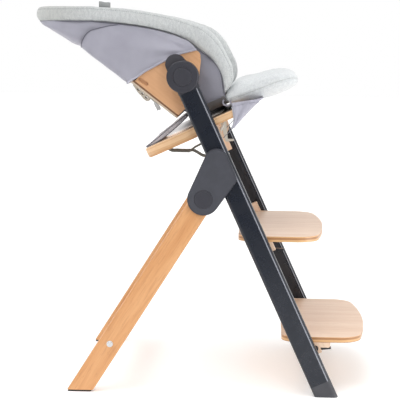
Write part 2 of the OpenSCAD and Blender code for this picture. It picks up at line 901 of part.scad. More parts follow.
front_leg(1);  // front_leg_left
front_leg(-1);  // front_leg_right
adjustment_rail(1);  // adjustment_rail_left
adjustment_rail(-1);  // adjustment_rail_right
foot_cap(1);  // foot_cap_left
foot_cap(-1);  // foot_cap_right
knob_housing(1);  // knob_housing_left
knob_housing(-1);  // knob_housing_right
hinge_cover_outer(1);  // hinge_cover_outer_left
hinge_cover_outer(-1);  // hinge_cover_outer_right
hinge_cover_inner(1);  // hinge_cover_inner_left
hinge_cover_inner(-1);  // hinge_cover_inner_right
fold_pin(1);  // fold_pin_left
fold_pin(-1);  // fold_pin_right
front_crossbar();
button_springs();
rear_leg(1);  // rear_leg_left
rear_leg(-1);  // rear_leg_right
rear_foot_pad(1);  // rear_foot_pad_left
rear_foot_pad(-1);  // rear_foot_pad_right
rear_crossbar();
crossbar_bolts();
back_panel();
side_wing(1);  // side_wing_left
side_wing(-1);  // side_wing_right
recline_adaptor(1);  // recline_adaptor_left
recline_adaptor(-1);  // recline_adaptor_right
insert_shell();
insert_rim();
insert_liner();
leg_rest();
rim_label();
harness_straps();
harness_buckle();
webbing_adjusters();
webbing_tails();
seat_board();
seat_cheek(1);  // seat_cheek_left
seat_cheek(-1);  // seat_cheek_right
seat_pad();
front_apron();
rear_strap();
under_seat_webbing();
upper_footrest_board();
upper_cheek(1);  // upper_cheek_left
upper_cheek(-1);  // upper_cheek_right
lower_footrest_board();
lower_cheek(1);  // lower_cheek_left
lower_cheek(-1);  // lower_cheek_right
seat_release_levers();
upper_release_levers();
lower_release_levers();
knob_button(1);  // knob_button_left
knob_button(-1);  // knob_button_right
fold_button(1);  // fold_button_left
fold_button(-1);  // fold_button_right
buckle_button();
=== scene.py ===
"""Convertible baby high chair, set up as a newborn recliner.

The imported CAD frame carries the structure. This script gives every CAD node its
material, and builds the fabric: the padded rim, the shell and its pocket, the
liner, the leg rest, the apron, the straps and the label.

Outlines are side views in millimetres, x from the fold pins and z from the floor.
"""
import math

import bpy
import numpy as np
from mathutils import Matrix, Vector, kdtree, noise
from mathutils.bvhtree import BVHTree


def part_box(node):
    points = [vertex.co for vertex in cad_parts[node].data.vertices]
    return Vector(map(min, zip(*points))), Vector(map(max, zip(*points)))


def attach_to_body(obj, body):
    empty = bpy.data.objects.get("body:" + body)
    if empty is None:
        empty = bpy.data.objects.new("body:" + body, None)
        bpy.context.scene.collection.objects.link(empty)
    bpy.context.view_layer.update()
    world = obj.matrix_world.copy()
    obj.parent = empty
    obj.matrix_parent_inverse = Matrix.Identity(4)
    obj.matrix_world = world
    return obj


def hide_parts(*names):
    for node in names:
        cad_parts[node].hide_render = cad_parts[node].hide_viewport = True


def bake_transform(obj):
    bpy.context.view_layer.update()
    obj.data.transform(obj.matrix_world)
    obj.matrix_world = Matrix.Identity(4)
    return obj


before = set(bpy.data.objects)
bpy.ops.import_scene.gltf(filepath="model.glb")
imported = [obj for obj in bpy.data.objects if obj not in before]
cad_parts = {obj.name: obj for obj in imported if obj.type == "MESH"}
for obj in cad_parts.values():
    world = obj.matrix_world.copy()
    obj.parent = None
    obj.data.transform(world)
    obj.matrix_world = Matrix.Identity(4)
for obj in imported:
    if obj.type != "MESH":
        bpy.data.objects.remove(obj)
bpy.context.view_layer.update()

pin_low, pin_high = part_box("fold_pin_right")
PIN_X = (pin_low.x + pin_high.x) / 2
MM = 0.001
LEG_FOOT_X = 273.5
SIDES = ((-1, "right"), (1, "left"))
ACROSS = np.array([0.0, 1.0, 0.0])

LEG_LEAN = math.radians(24.85)
REAR_LEAN = math.radians(32)
BACK_SLOPE = math.radians(37.5)
LEG_AXIS = (-math.sin(LEG_LEAN), 0, math.cos(LEG_LEAN))
REAR_AXIS = (math.sin(REAR_LEAN), 0, math.cos(REAR_LEAN))
BACK_AXIS = (-math.cos(BACK_SLOPE), 0, math.sin(BACK_SLOPE))
BACK_NORMAL = (math.sin(BACK_SLOPE), 0, math.cos(BACK_SLOPE))


def at(x, z, y=0.0):
    """The point in the frame for a side-view point in millimetres."""
    return np.array([PIN_X + x * MM, y * MM, z * MM])


def leg_place(s, t=0.0, y=0.0):
    """The point in the frame s along the front leg from the floor and t forward of its middle."""
    c, n = math.cos(LEG_LEAN), math.sin(LEG_LEAN)
    return at(LEG_FOOT_X - s * n + t * c, s * c + t * n, y)


# ---- node trees ----


class Look:
    """The node tree of a material or of the world, built up call by call."""

    def __init__(self, owner):
        owner.use_nodes = True
        self.owner = owner
        self.tree = owner.node_tree

    def fill(self, made, inputs):
        """Sets inputs to a number, a vector, a colour or another node's output."""
        for key, value in inputs.items():
            socket = made.inputs[int(key[2:]) if key.startswith("i_") else key.replace("_", " ")]
            if isinstance(value, bpy.types.NodeSocket):
                self.tree.links.new(value, socket)
            else:
                socket.default_value = value

    def node(self, kind, settings=None, **inputs):
        made = self.tree.nodes.new("ShaderNode" + kind)
        for key, value in (settings or {}).items():
            setattr(made, key, value)
        self.fill(made, inputs)
        return made

    def shade(self, **inputs):
        """Sets inputs of the material's Principled shader."""
        self.fill(self.tree.nodes["Principled BSDF"], inputs)

    def place(self, kind="Object"):
        return self.node("TexCoord").outputs[kind]

    def axis(self, letter, vector=None):
        """One coordinate of a vector, or of the place on the object."""
        return self.node("SeparateXYZ", Vector=vector or self.place()).outputs[letter]

    def seen_directly(self):
        """1 where the camera looks straight at the studio, which is plain white from all sides."""
        return self.node("LightPath").outputs["Is Camera Ray"]

    def math(self, operation, a, b=0.0, c=0.0):
        return self.node("Math", {"operation": operation}, i_0=a, i_1=b, i_2=c).outputs[0]

    def times(self, a, b):
        return self.math("MULTIPLY", a, b)

    def dot(self, a, b):
        return self.node("VectorMath", {"operation": "DOT_PRODUCT"}, i_0=a, i_1=b).outputs["Value"]

    def scaled(self, *axes):
        """Object coordinates measured along each of three (direction, scale)."""
        x, y, z = (self.dot(self.place(), tuple(part * scale for part in direction))
                   for direction, scale in axes)
        return self.node("CombineXYZ", X=x, Y=y, Z=z).outputs[0]

    def noise(self, place, scale, detail=3.0, roughness=0.5, distortion=0.0):
        return self.node("TexNoise", Vector=place, Scale=scale, Detail=detail,
                         Roughness=roughness, Distortion=distortion).outputs[0]

    def spread(self, value, low, high):
        """Value from low to high, stretched to 0 to 1."""
        return self.node("MapRange", {"interpolation_type": "SMOOTHSTEP"}, Value=value,
                         From_Min=low, From_Max=high).outputs[0]

    def between(self, share, low, high):
        """The number a share of the way from low to high."""
        return self.node("MapRange", Value=share, To_Min=low, To_Max=high).outputs[0]

    def mix(self, share, a, b, blend="MIX"):
        a, b = ((*colour, 1) if isinstance(colour, tuple) else colour for colour in (a, b))
        settings = {"data_type": "RGBA", "blend_type": blend}
        return self.node("Mix", settings, i_0=share, i_6=a, i_7=b).outputs[2]

    def bump(self, height, distance, strength=1.0, **below):
        return self.node("Bump", Height=height, Distance=distance, Strength=strength,
                         **below).outputs["Normal"]

    def threads(self, place, scale, directions):
        """Height of crossing threads, scale of them to the metre in each direction."""
        height = None
        for direction in directions:
            settings = {"wave_type": "BANDS", "bands_direction": direction, "wave_profile": "SIN"}
            wave = self.node("TexWave", settings, Vector=place, Scale=scale, Distortion=1.2,
                             Detail=1.0, Detail_Scale=1.0).outputs["Fac"]
            height = wave if height is None else self.times(height, wave)
        return height


# ---- camera, lights and floor ----

CAMERA_PLACE = (PIN_X + 0.1335, -3.1463, 0.7867)
CAMERA_TURN = (2.797, 7.021, 0.652)     # azimuth, elevation and roll in degrees
CAMERA_LENS = 121.55
FLOOR_HALF = 14


def make_camera():
    azimuth, elevation, roll = (math.radians(angle) for angle in CAMERA_TURN)
    right = Vector((math.cos(azimuth), math.sin(azimuth), 0))
    forward = Vector((-math.sin(azimuth) * math.cos(elevation),
                      math.cos(azimuth) * math.cos(elevation), -math.sin(elevation)))
    up = right.cross(forward)
    across = math.cos(roll) * right + math.sin(roll) * up
    above = math.cos(roll) * up - math.sin(roll) * right
    data = bpy.data.cameras.new("camera")
    data.sensor_width = 36
    data.lens = CAMERA_LENS
    data.clip_end = 50
    camera = bpy.data.objects.new("camera", data)
    turn = Matrix((across, above, -forward)).transposed().to_4x4()
    camera.matrix_world = Matrix.Translation(CAMERA_PLACE) @ turn
    bpy.context.scene.collection.objects.link(camera)
    bpy.context.scene.camera = camera


def add_light(name, kind, aim, power):
    data = bpy.data.lights.new(name, kind)
    data.energy = power
    light = bpy.data.objects.new(name, data)
    light.rotation_euler = Vector(aim).to_track_quat("-Z", "Y").to_euler()
    bpy.context.scene.collection.objects.link(light)
    return light


def area_light(name, place, target, size, power):
    light = add_light(name, "AREA", Vector(target) - Vector(place), power)
    light.location = place
    light.data.shape = "RECTANGLE"
    light.data.size, light.data.size_y = size


def make_studio():
    """Bright surroundings beyond the chair, a soft key from the left, a dim room in front."""
    scene = bpy.context.scene
    scene.view_settings.view_transform = "Standard"
    scene.world = bpy.data.worlds.new("studio")
    room = Look(scene.world)
    direction = room.place("Generated")
    behind = room.spread(room.times(room.axis("Y", direction), -1), 0.0, 0.5)
    low = room.spread(room.axis("Z", direction), 0.75, 0.3)
    beyond = room.spread(room.axis("Y", direction), 0.0, 0.4)
    strength = room.math("MULTIPLY_ADD", room.times(behind, low), -0.45, 0.66)
    strength = room.math("MULTIPLY_ADD", beyond, 0.34, strength)
    strength = room.math("MAXIMUM", strength, room.seen_directly())
    room.fill(room.tree.nodes["Background"], {"Color": (1, 1, 1, 1), "Strength": strength})
    overhead = add_light("overhead", "SUN", (0.35, 0.35, -1), 1.5)
    overhead.data.angle = math.radians(50)
    area_light("key", (-1.1, -3.6, 1.9), (0.0, 0.0, 0.7), (1.4, 1.6), 19)
    area_light("strip", (1.55, -3.6, 1.2), (0.0, -0.26, 0.5), (0.12, 3.0), 22)
    area_light("side_box", (2.4, -1.5, 0.8), (0.0, -0.25, 0.5), (0.5, 2.0), 9)
    area_light("low_fill", (2.2, -0.9, 0.2), (0.1, 0.0, 0.65), (1.2, 0.5), 13)
    ends = (-FLOOR_HALF, FLOOR_HALF)
    corners = [[(x, y, 0) for x in ends] for y in ends]
    loft("floor", corners, floor_material())


# ---- materials ----


def new_look(name, colour=(0.5, 0.5, 0.5), roughness=0.5, **inputs):
    """A Principled material; inputs are plain numbers for its own sockets."""
    look = Look(bpy.data.materials.new(name))
    look.shade(Base_Color=(*colour, 1), Roughness=roughness, **inputs)
    return look


def floor_material():
    """White paper, lit from below by its light table; dark carpet starts well in front."""
    look = new_look("floor_paper", roughness=0.9)
    paper = look.mix(look.noise(look.place(), 40), (0.92,) * 3, (0.94,) * 3)
    carpet = look.spread(look.times(look.axis("Y"), -1), 1.2, 2.0)
    carpet = look.math("MAXIMUM", look.math("SUBTRACT", carpet, look.seen_directly()), 0.0)
    look.shade(Base_Color=look.mix(carpet, paper, (0.1,) * 3),
               Emission_Color=look.mix(carpet, (0.2,) * 3, (0.0,) * 3), Emission_Strength=1.0)
    return look.owner


def heather_jersey(name, pale, dark, fleck_colour):
    """Melange knit: pale yarn flecked with grey, with fine ribs; darker at the head end, which is
    painted shade.
    """
    look = new_look(name, roughness=0.92, Sheen_Weight=0.35, Sheen_Roughness=0.5)
    place = look.place()
    fleck = look.spread(look.noise(place, 750, 2, 0.6), 0.42, 0.66)
    stretched = look.scaled(((1, 0, 0), 210), ((0, 1, 0), 210), ((0, 0, 1), 95))
    cloud = look.spread(look.noise(stretched, 1.0, 4, 0.65), 0.35, 0.7)
    # painted shade: the colour darkens towards the head end
    head = look.spread(look.math("SUBTRACT", PIN_X, look.axis("X")), 0.24, 0.36)
    colour = look.mix(head, look.mix(cloud, pale, dark), (0.86, 0.85, 0.82), "MULTIPLY")
    fuzz = look.bump(look.noise(place, 1500, 2), 0.0004, 0.5)
    ribs = look.threads(place, 260, ("X", "Z"))
    look.shade(Base_Color=look.mix(look.times(fleck, 0.42), colour, fleck_colour),
               Normal=look.bump(ribs, 0.0005, 0.5, Normal=fuzz))
    return look.owner


def fabric(name, pale, dark, sheen=0.25, threads_per_metre=420, front=1.0, painted_glow=0.0):
    """Tightly woven polyester with slight unevenness; front darkens its colour towards the insert's
    front, painted shade where the wings and knobs cast shadow, and glow is an emission that
    brightens a pale fabric lying in shade, painted light."""
    look = new_look(name, roughness=0.72, Sheen_Weight=sheen, Sheen_Roughness=0.4)
    place = look.place()
    uneven = look.spread(look.noise(place, 9, 3, 0.6), 0.3, 0.7)
    yarn = look.spread(look.noise(place, 900, 1), 0.35, 0.65)
    colour = look.mix(look.times(yarn, 0.12), look.mix(uneven, pale, dark), dark)
    # painted light: an emission brightens the pale fabric where it lies in shade under the insert
    if painted_glow:
        share = look.spread(look.axis("X"), PIN_X - 0.07, PIN_X - 0.03)
        look.shade(Emission_Color=colour, Emission_Strength=look.between(share, painted_glow, 0.0))
    # painted shade: the colour darkens towards the insert's front, where the wings and knobs cast
    # shadow
    if front < 1:
        share = look.spread(look.axis("X"), PIN_X - 0.14, PIN_X)
        colour = look.mix(share, colour, (front,) * 3, "MULTIPLY")
    weave = look.threads(place, threads_per_metre, ("X", "Y", "Z"))
    look.shade(Base_Color=colour, Normal=look.bump(weave, 0.0003, 0.35))
    return look.owner


def webbing(name, pale, dark):
    """Strap webbing: ribs across, darker between them."""
    look = new_look(name, roughness=0.78, Sheen_Weight=0.2, Sheen_Roughness=0.4)
    rib = look.threads(look.place(), 330, ("DIAGONAL",))
    worn = look.spread(look.noise(look.place(), 60, 4), 0.3, 0.75)
    look.shade(Base_Color=look.mix(look.times(worn, 0.3), look.mix(rib, dark, pale), dark),
               Normal=look.bump(rib, 0.0005, 0.8))
    return look.owner


def wood_grain(look, along, across, through, pale, mid, dark, growth=34):
    """Colour of streaks along the grain with beech's short dark rays, and the pores' height."""
    streaks = look.scaled((along, 2.2), (across, growth), (through, growth))
    broad = look.noise(streaks, 1.0, 5, 0.62, 0.5)
    fine = look.noise(streaks, 7.0, 3, 0.6)
    rays = look.scaled((along, 95), (across, 620), (through, 620))
    ray = look.spread(look.noise(rays, 1.0, 1), 0.66, 0.78)
    colour = look.mix(look.spread(broad, 0.32, 0.7), pale, mid)
    colour = look.mix(look.times(look.spread(fine, 0.45, 0.75), 0.35), colour, dark)
    return look.mix(look.times(ray, 0.4), colour, dark), look.math("SUBTRACT", fine, ray)


def solid_wood(name, along, *tones):
    look = new_look(name, roughness=0.42, Coat_Weight=0.12, Coat_Roughness=0.3)
    across, through = (1, 0, 0), (0, 0, 1)
    if along[1] == 0:
        across, through = (along[2], 0, -along[0]), (0, 1, 0)
    colour, pores = wood_grain(look, along, across, through, *tones)
    look.shade(Base_Color=colour, Normal=look.bump(pores, 0.0003, 0.3))
    return look.owner


def plywood(name, normal, along, thickness, plies, pale, mid, dark, edge_pale, edge_dark,
            face=(0, 0, 0), glue_lines=0):
    """Veneer on the faces, and alternating plies, counted from face, where the board is cut."""
    look = new_look(name, roughness=0.4, Coat_Weight=0.15, Coat_Roughness=0.28)
    across = tuple(np.cross(normal, along))
    colour, pores = wood_grain(look, along, across, normal, pale, mid, dark, 26)
    flat = look.math("ABSOLUTE", look.dot(look.place("Normal"), normal))
    cut = look.node("MapRange", Value=flat, From_Min=0.62, From_Max=0.5).outputs[0]
    rate = plies / thickness * math.pi
    level = look.scaled((normal, rate), (along, 9), (across, 9))
    start = -0.35 - rate * float(np.dot(normal, face))
    phase = look.math("MULTIPLY_ADD", look.noise(level, 1.5, 2), 0.7, start)
    phase = look.math("ADD", look.axis("X", level), phase)
    edge = look.mix(look.spread(look.math("SINE", phase), -0.5, 0.5), edge_dark, edge_pale)
    if glue_lines:
        finer = look.math("SINE", look.times(phase, glue_lines))
        edge = look.mix(look.times(look.spread(finer, 0.3, 0.9), 0.45), edge, edge_dark)
    edge = look.mix(look.times(look.noise(look.place(), 900, 2), 0.35), edge, edge_dark)
    look.shade(Base_Color=look.mix(cut, colour, edge), Normal=look.bump(pores, 0.00025, 0.3))
    return look.owner


def plastic(name, colour, roughness=0.45, grain=0.0003, texture=900):
    """Fine spark-eroded grain, slightly rubbed in places."""
    look = new_look(name, roughness=roughness)
    rubbed = look.spread(look.noise(look.place(), 35, 4), 0.35, 0.7)
    lighter = tuple(min(1.0, part * 1.22 + 0.006) for part in colour)
    look.shade(Base_Color=look.mix(look.times(rubbed, 0.5), colour, lighter),
               Roughness=look.between(rubbed, roughness + 0.06, roughness - 0.05),
               Normal=look.bump(look.noise(look.place(), texture, 3, 0.6), grain, 0.35))
    return look.owner


def painted_edge_highlight(look, direction, colour):
    """Paints a highlight: the rounded edge that faces one way is coloured paler, standing in for a
    light's shine on it.
    """
    # painted highlight: a paler band where the surface faces the given way
    share = look.spread(look.dot(look.place("Normal"), direction), 0.988, 0.997)
    painted = look.tree.nodes["Principled BSDF"].inputs["Base Color"].links[0].from_socket
    look.shade(Base_Color=look.mix(share, painted, colour))


def metal(name, colour, roughness=0.3):
    look = new_look(name, colour, Metallic=1.0)
    brushed = look.scaled(((1, 0, 0), 300), ((0, 1, 0), 3000), ((0, 0, 1), 300))
    stain = look.spread(look.noise(look.place(), 130, 3), 0.3, 0.8)
    look.shade(Roughness=look.between(stain, roughness - 0.05, roughness + 0.15),
               Normal=look.bump(look.noise(brushed, 1.0, 3), 0.0001, 0.3))
    return look.owner


BEECH = ((0.72, 0.385, 0.175), (0.62, 0.295, 0.115), (0.4, 0.16, 0.055))
MAPLE = ((0.84, 0.63, 0.475), (0.755, 0.525, 0.37), (0.53, 0.33, 0.19))
WING_VENEER = ((0.75, 0.425, 0.225), (0.7, 0.38, 0.195), (0.58, 0.29, 0.135))
PLY_EDGE = ((0.76, 0.46, 0.22), (0.4, 0.19, 0.075))
PANEL_EDGE = ((0.72, 0.62, 0.5), (0.22, 0.1, 0.045))
SEAT_EDGE = ((0.84, 0.57, 0.34), (0.6, 0.32, 0.14))
# colour of the painted highlight along the front legs' rounded edge
EDGE_HIGHLIGHT_PAINT = (0.26, 0.27, 0.31)
EDGE_TURN = math.radians(22)    # how far the leg's edge with the painted highlight faces from its side
WEBBING_WIDTH = 0.025
WEBBING_THICK = 0.0022


def make_materials():
    mats = {
        "heather": heather_jersey("heather_jersey", (0.66, 0.68, 0.675), (0.55, 0.57, 0.575),
                                  (0.36, 0.375, 0.385)),
        "pale_heather": heather_jersey("pale_heather_jersey", (0.76, 0.785, 0.79),
                                       (0.66, 0.685, 0.7), (0.47, 0.49, 0.5)),
        # the tub's darker front is painted shade
        "tub": fabric("tub_fabric", (0.4, 0.395, 0.46), (0.33, 0.325, 0.385), front=0.62),
        "shell": fabric("lilac_grey_fabric", (0.4, 0.395, 0.46), (0.33, 0.325, 0.385)),
        "apron": fabric("apron_fabric", (0.46, 0.455, 0.53), (0.38, 0.375, 0.44)),
        "base": fabric("base_mesh_fabric", (0.16, 0.15, 0.15), (0.1, 0.095, 0.095), 0.1),
        "binding": fabric("pale_binding", (0.6, 0.6, 0.65), (0.5, 0.5, 0.55), 0.3),
        "piping": fabric("dark_piping", (0.2, 0.2, 0.24), (0.13, 0.13, 0.16), 0.1, 900),
        # the pad's emission is painted light on a pad lying in shade
        "pad": fabric("pale_pad_fabric", (0.92, 0.9, 0.87), (0.86, 0.84, 0.81), 0.3, painted_glow=0.55),
        "label": fabric("label_cloth", (0.36, 0.37, 0.37), (0.28, 0.29, 0.29), 0.1, 1400),
        "webbing": webbing("grey_webbing", (0.34, 0.33, 0.37), (0.13, 0.13, 0.15)),
        "olive": webbing("olive_webbing", (0.2, 0.2, 0.18), (0.08, 0.08, 0.07)),
        "pale_webbing": webbing("pale_webbing", (0.52, 0.52, 0.52), (0.33, 0.33, 0.33)),
        "thread": fabric("seam_thread", (0.34, 0.35, 0.36), (0.26, 0.27, 0.28), 0.2, 1800),
        "charcoal": plastic("charcoal_paint", (0.006, 0.009, 0.017), 0.27, 0.00001, 1400),
        "cover": plastic("cover_plastic", (0.045, 0.047, 0.06), 0.5),
        "knob": plastic("knob_plastic", (0.026, 0.026, 0.036), 0.46),
        "adaptor": plastic("adaptor_plastic", (0.05, 0.048, 0.058), 0.5),
        "button": plastic("button_plastic", (0.03, 0.03, 0.04), 0.42),
        "cap": plastic("cap_plastic", (0.045, 0.046, 0.054), 0.5),
        "black": plastic("black_plastic", (0.009, 0.01, 0.015), 0.42),
        "pale_plastic": plastic("pale_plastic", (0.53, 0.52, 0.47), 0.4),
        "red": plastic("red_plastic", (0.5, 0.04, 0.03), 0.35),
        "rubber": plastic("rubber", (0.02, 0.02, 0.022), 0.7, 0.0005, 500),
        "steel": metal("zinc_steel", (0.72, 0.73, 0.74)),
        "rear_beech": solid_wood("beech_along_rear_leg", REAR_AXIS, *BEECH),
        "bar_beech": solid_wood("beech_along_crossbar", (0, 1, 0), *BEECH),
        "cheek": solid_wood("maple_cheek", LEG_AXIS, *MAPLE),
        "wing": plywood("wing_plywood", (0, 1, 0), BACK_AXIS, 0.010, 3.5, *WING_VENEER,
                        *PLY_EDGE),
        "panel": plywood("panel_plywood", BACK_NORMAL, (0, 1, 0), 0.008, 2, *MAPLE, *PANEL_EDGE,
                         at(-62.5, 603)),
        "seat": plywood("seat_plywood", LEG_AXIS, (0, 1, 0), 0.03, 1, *MAPLE, *SEAT_EDGE,
                        leg_place(640), 6),
        "footrest": plywood("footrest_plywood", (0, 0, 1), (1, 0, 0), 0.012, 2.5, *MAPLE,
                            *PLY_EDGE),
    }
    # painted highlight along the front edge of the charcoal legs
    ahead = math.sin(EDGE_TURN)
    edge = (ahead * math.cos(LEG_LEAN), -math.cos(EDGE_TURN), ahead * math.sin(LEG_LEAN))
    painted_edge_highlight(Look(mats["charcoal"]), edge, EDGE_HIGHLIGHT_PAINT)
    return mats


NODE_MATERIALS = {
    "charcoal": ["front_leg", "front_crossbar"],
    "black": ["adjustment_rail", "upper_release_levers", "lower_release_levers",
              "harness_buckle"],
    "cap": ["foot_cap"],
    "knob": ["knob_housing"],
    "adaptor": ["recline_adaptor"],
    "button": ["knob_button", "fold_button"],
    "cover": ["hinge_cover_outer", "hinge_cover_inner"],
    "steel": ["fold_pin", "button_springs", "crossbar_bolts"],
    "rear_beech": ["rear_leg"],
    "bar_beech": ["rear_crossbar"],
    "rubber": ["rear_foot_pad"],
    "panel": ["back_panel"],
    "wing": ["side_wing"],
    "pale_plastic": ["webbing_adjusters", "seat_release_levers"],
    "seat": ["seat_board"],
    "cheek": ["seat_cheek", "upper_cheek", "lower_cheek"],
    "footrest": ["upper_footrest_board", "lower_footrest_board"],
    "red": ["buckle_button"],
}


def dress_nodes(mats):
    """Gives every CAD node that stays in view its material."""
    for key, families in NODE_MATERIALS.items():
        names = [family + end for family in families for end in ("", "_left", "_right")]
        for shown in (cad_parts[name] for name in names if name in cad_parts):
            for slot in shown.material_slots:
                slot.link = "OBJECT"
                slot.material = mats[key]
            if not shown.material_slots:
                shown.data.materials.append(mats[key])


# ---- curves and meshes ----


def run_along(points):
    """The distance along a polyline to each of its points."""
    return np.concatenate([[0], np.cumsum(np.linalg.norm(np.diff(points, axis=0), axis=1))])


def curve(points, count):
    """Count points, evenly spaced, on a smooth line through the given points."""
    points = np.array(points, float)
    run = run_along(points)
    slope = np.gradient(points, run, axis=0)
    dense = []
    for i, h in enumerate(np.diff(run)):
        for s in np.arange(20) / 20:
            dense.append(
                (2 * s**3 - 3 * s**2 + 1) * points[i] + (s**3 - 2 * s**2 + s) * h * slope[i]
                + (3 * s**2 - 2 * s**3) * points[i + 1] + (s**3 - s**2) * h * slope[i + 1])
    dense.append(points[-1])
    return evenly(np.array(dense), count)


def evenly(points, count):
    """Count points evenly spaced along a polyline."""
    run = run_along(points)
    wanted = np.linspace(0, run[-1], count)
    return np.stack([np.interp(wanted, run, axis) for axis in points.T], axis=1)


def ease(value, low=0.0, high=1.0):
    t = np.clip((value - low) / (high - low), 0, 1)
    return t * t * (3 - 2 * t)


def new_object(name, vertices, faces, material):
    mesh = bpy.data.meshes.new(name)
    mesh.from_pydata([tuple(map(float, v)) for v in vertices], [], faces)
    mesh.materials.append(material)
    mesh.polygons.foreach_set("use_smooth", [True] * len(mesh.polygons))
    made = bpy.data.objects.new(name, mesh)
    bpy.context.scene.collection.objects.link(made)
    return made


def loft(name, rows, material, ring=False, capped=False):
    """Skins rows of points. ring closes each row; capped closes both ends."""
    rows = np.array(rows, float)
    n, m = rows.shape[:2]
    vertices = list(rows.reshape(-1, 3))
    faces = []
    for i in range(n - 1):
        for j in range(m if ring else m - 1):
            k = (j + 1) % m
            faces.append((i * m + j, i * m + k, (i + 1) * m + k, (i + 1) * m + j))
    if capped:
        for row, turn in ((0, -1), (n - 1, 1)):
            vertices.append(rows[row].mean(axis=0))
            hub = len(vertices) - 1
            for j in range(m):
                a, b = row * m + j, row * m + (j + 1) % m
                faces.append((hub, a, b)[::turn])
    return new_object(name, vertices, faces, material)


def frames_along(path, side):
    """Unit tangent, width and thickness directions along a path."""
    tangent = np.gradient(path, axis=0)
    tangent /= np.linalg.norm(tangent, axis=1)[:, None]
    side = np.broadcast_to(np.array(side, float), path.shape)
    width = side - (side * tangent).sum(axis=1)[:, None] * tangent
    width /= np.linalg.norm(width, axis=1)[:, None]
    return tangent, width, np.cross(tangent, width)


def rounded_profile(count, power=2.0):
    """Points (a, b) round a superellipse of half sizes 1."""
    angles = np.arange(count) * 2 * math.pi / count
    circle = np.stack([np.cos(angles), np.sin(angles)], axis=1)
    return np.sign(circle) * np.abs(circle) ** (2 / power)


def sweep(name, path, side, width, thickness, material, count=12, power=3.0, roll=0.0):
    """A strap or cord: a rounded section carried along a path, closed at its ends.

    Width, thickness and roll, which turns the section about the path in radians, are one
    number or one for each point."""
    path = np.array(path, float)
    half_w, half_t, turn = (np.broadcast_to(np.array(each, float), len(path))[:, None]
                            for each in (width / 2, thickness / 2, roll))
    _, w, t = frames_along(path, side)
    w, t = w * np.cos(turn) + t * np.sin(turn), t * np.cos(turn) - w * np.sin(turn)
    profile = rounded_profile(count, power)
    rows = (path[:, None]
            + w[:, None] * (profile[:, 0] * half_w)[:, :, None]
            + t[:, None] * (profile[:, 1] * half_t)[:, :, None])
    return loft(name, rows, material, ring=True, capped=True)


def cord(name, path, side, thick, material):
    """A round cord, such as the piping in a seam."""
    return sweep(name, path, side, thick, thick, material, 8, 2)


def attach(piece, body):
    """Lets a piece move with a body."""
    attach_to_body(piece, body)


def apply_modifiers(piece):
    evaluated = piece.evaluated_get(bpy.context.evaluated_depsgraph_get())
    mesh = bpy.data.meshes.new_from_object(evaluated)
    piece.modifiers.clear()
    old = piece.data
    piece.data = mesh
    bpy.data.meshes.remove(old)
    mesh.polygons.foreach_set("use_smooth", [True] * len(mesh.polygons))


def vertex_values(piece, kind):
    flat = np.empty(len(piece.data.vertices) * 3)
    piece.data.vertices.foreach_get(kind, flat)
    return flat.reshape(-1, 3)


def coordinates(piece):
    return vertex_values(piece, "co")


def normals(piece):
    return vertex_values(piece, "normal")


def set_coordinates(piece, points):
    piece.data.vertices.foreach_set("co", points.ravel())
    piece.data.update()


def modify(piece, kind, **settings):
    modifier = piece.modifiers.new(kind, kind)
    for key, value in settings.items():
        setattr(modifier, key, value)
    return modifier


def puff(piece, voxel, pressure, most):
    """Remeshes a closed form and swells it as cloth, moving no point further than most."""
    modify(piece, "REMESH", mode="VOXEL", voxel_size=voxel)
    apply_modifiers(piece)
    rest = coordinates(piece)
    cloth = modify(piece, "CLOTH")
    cloth.settings.quality = 5
    cloth.settings.mass = 0.2
    cloth.settings.use_pressure = True
    cloth.settings.uniform_pressure_force = pressure
    cloth.settings.effector_weights.gravity = 0
    cloth.collision_settings.use_collision = False
    scene = bpy.context.scene
    for step in range(1, 21):
        scene.frame_set(step)
    evaluated = piece.evaluated_get(bpy.context.evaluated_depsgraph_get())
    moved = coordinates(evaluated) - rest
    piece.modifiers.clear()
    scene.frame_set(1)
    reach = np.linalg.norm(moved, axis=1)[:, None]
    set_coordinates(piece, rest + moved * np.minimum(1, most / np.maximum(reach, 1e-9)))
    modify(piece, "SMOOTH", iterations=2, factor=0.5)
    modify(piece, "SUBSURF", levels=1, render_levels=1)
    apply_modifiers(piece)


def sew(piece, path, width, depth):
    """Presses a seam groove into a piece along a path."""
    tree = kdtree.KDTree(len(path))
    for i, point in enumerate(path):
        tree.insert(point, i)
    tree.balance()
    points, outward = coordinates(piece), normals(piece)
    for i, point in enumerate(points):
        distance = tree.find(point)[2]
        if distance < width:
            points[i] = point - outward[i] * depth * (1 - (distance / width) ** 2) ** 2
    set_coordinates(piece, points)


def onto(piece, path, lift=0.0):
    """Brings a path to the nearest places on a piece, lifted off its surface."""
    tree = BVHTree.FromObject(piece, bpy.context.evaluated_depsgraph_get())
    found = [tree.find_nearest(Vector(point)) for point in path]
    return np.array([place + outward * lift for place, outward, _, _ in found])


def eased(path, reach):
    """A path with each point moved to the average of its neighbours, reach to each side."""
    padded = np.concatenate([path[:1]] * reach + [path] + [path[-1:]] * reach)
    count = 2 * reach + 1
    return sum(padded[i: i + len(path)] for i in range(count)) / count


STITCH_PITCH = 0.0048
STITCH_LENGTH = 0.0034
STITCH_THICK = 0.0007


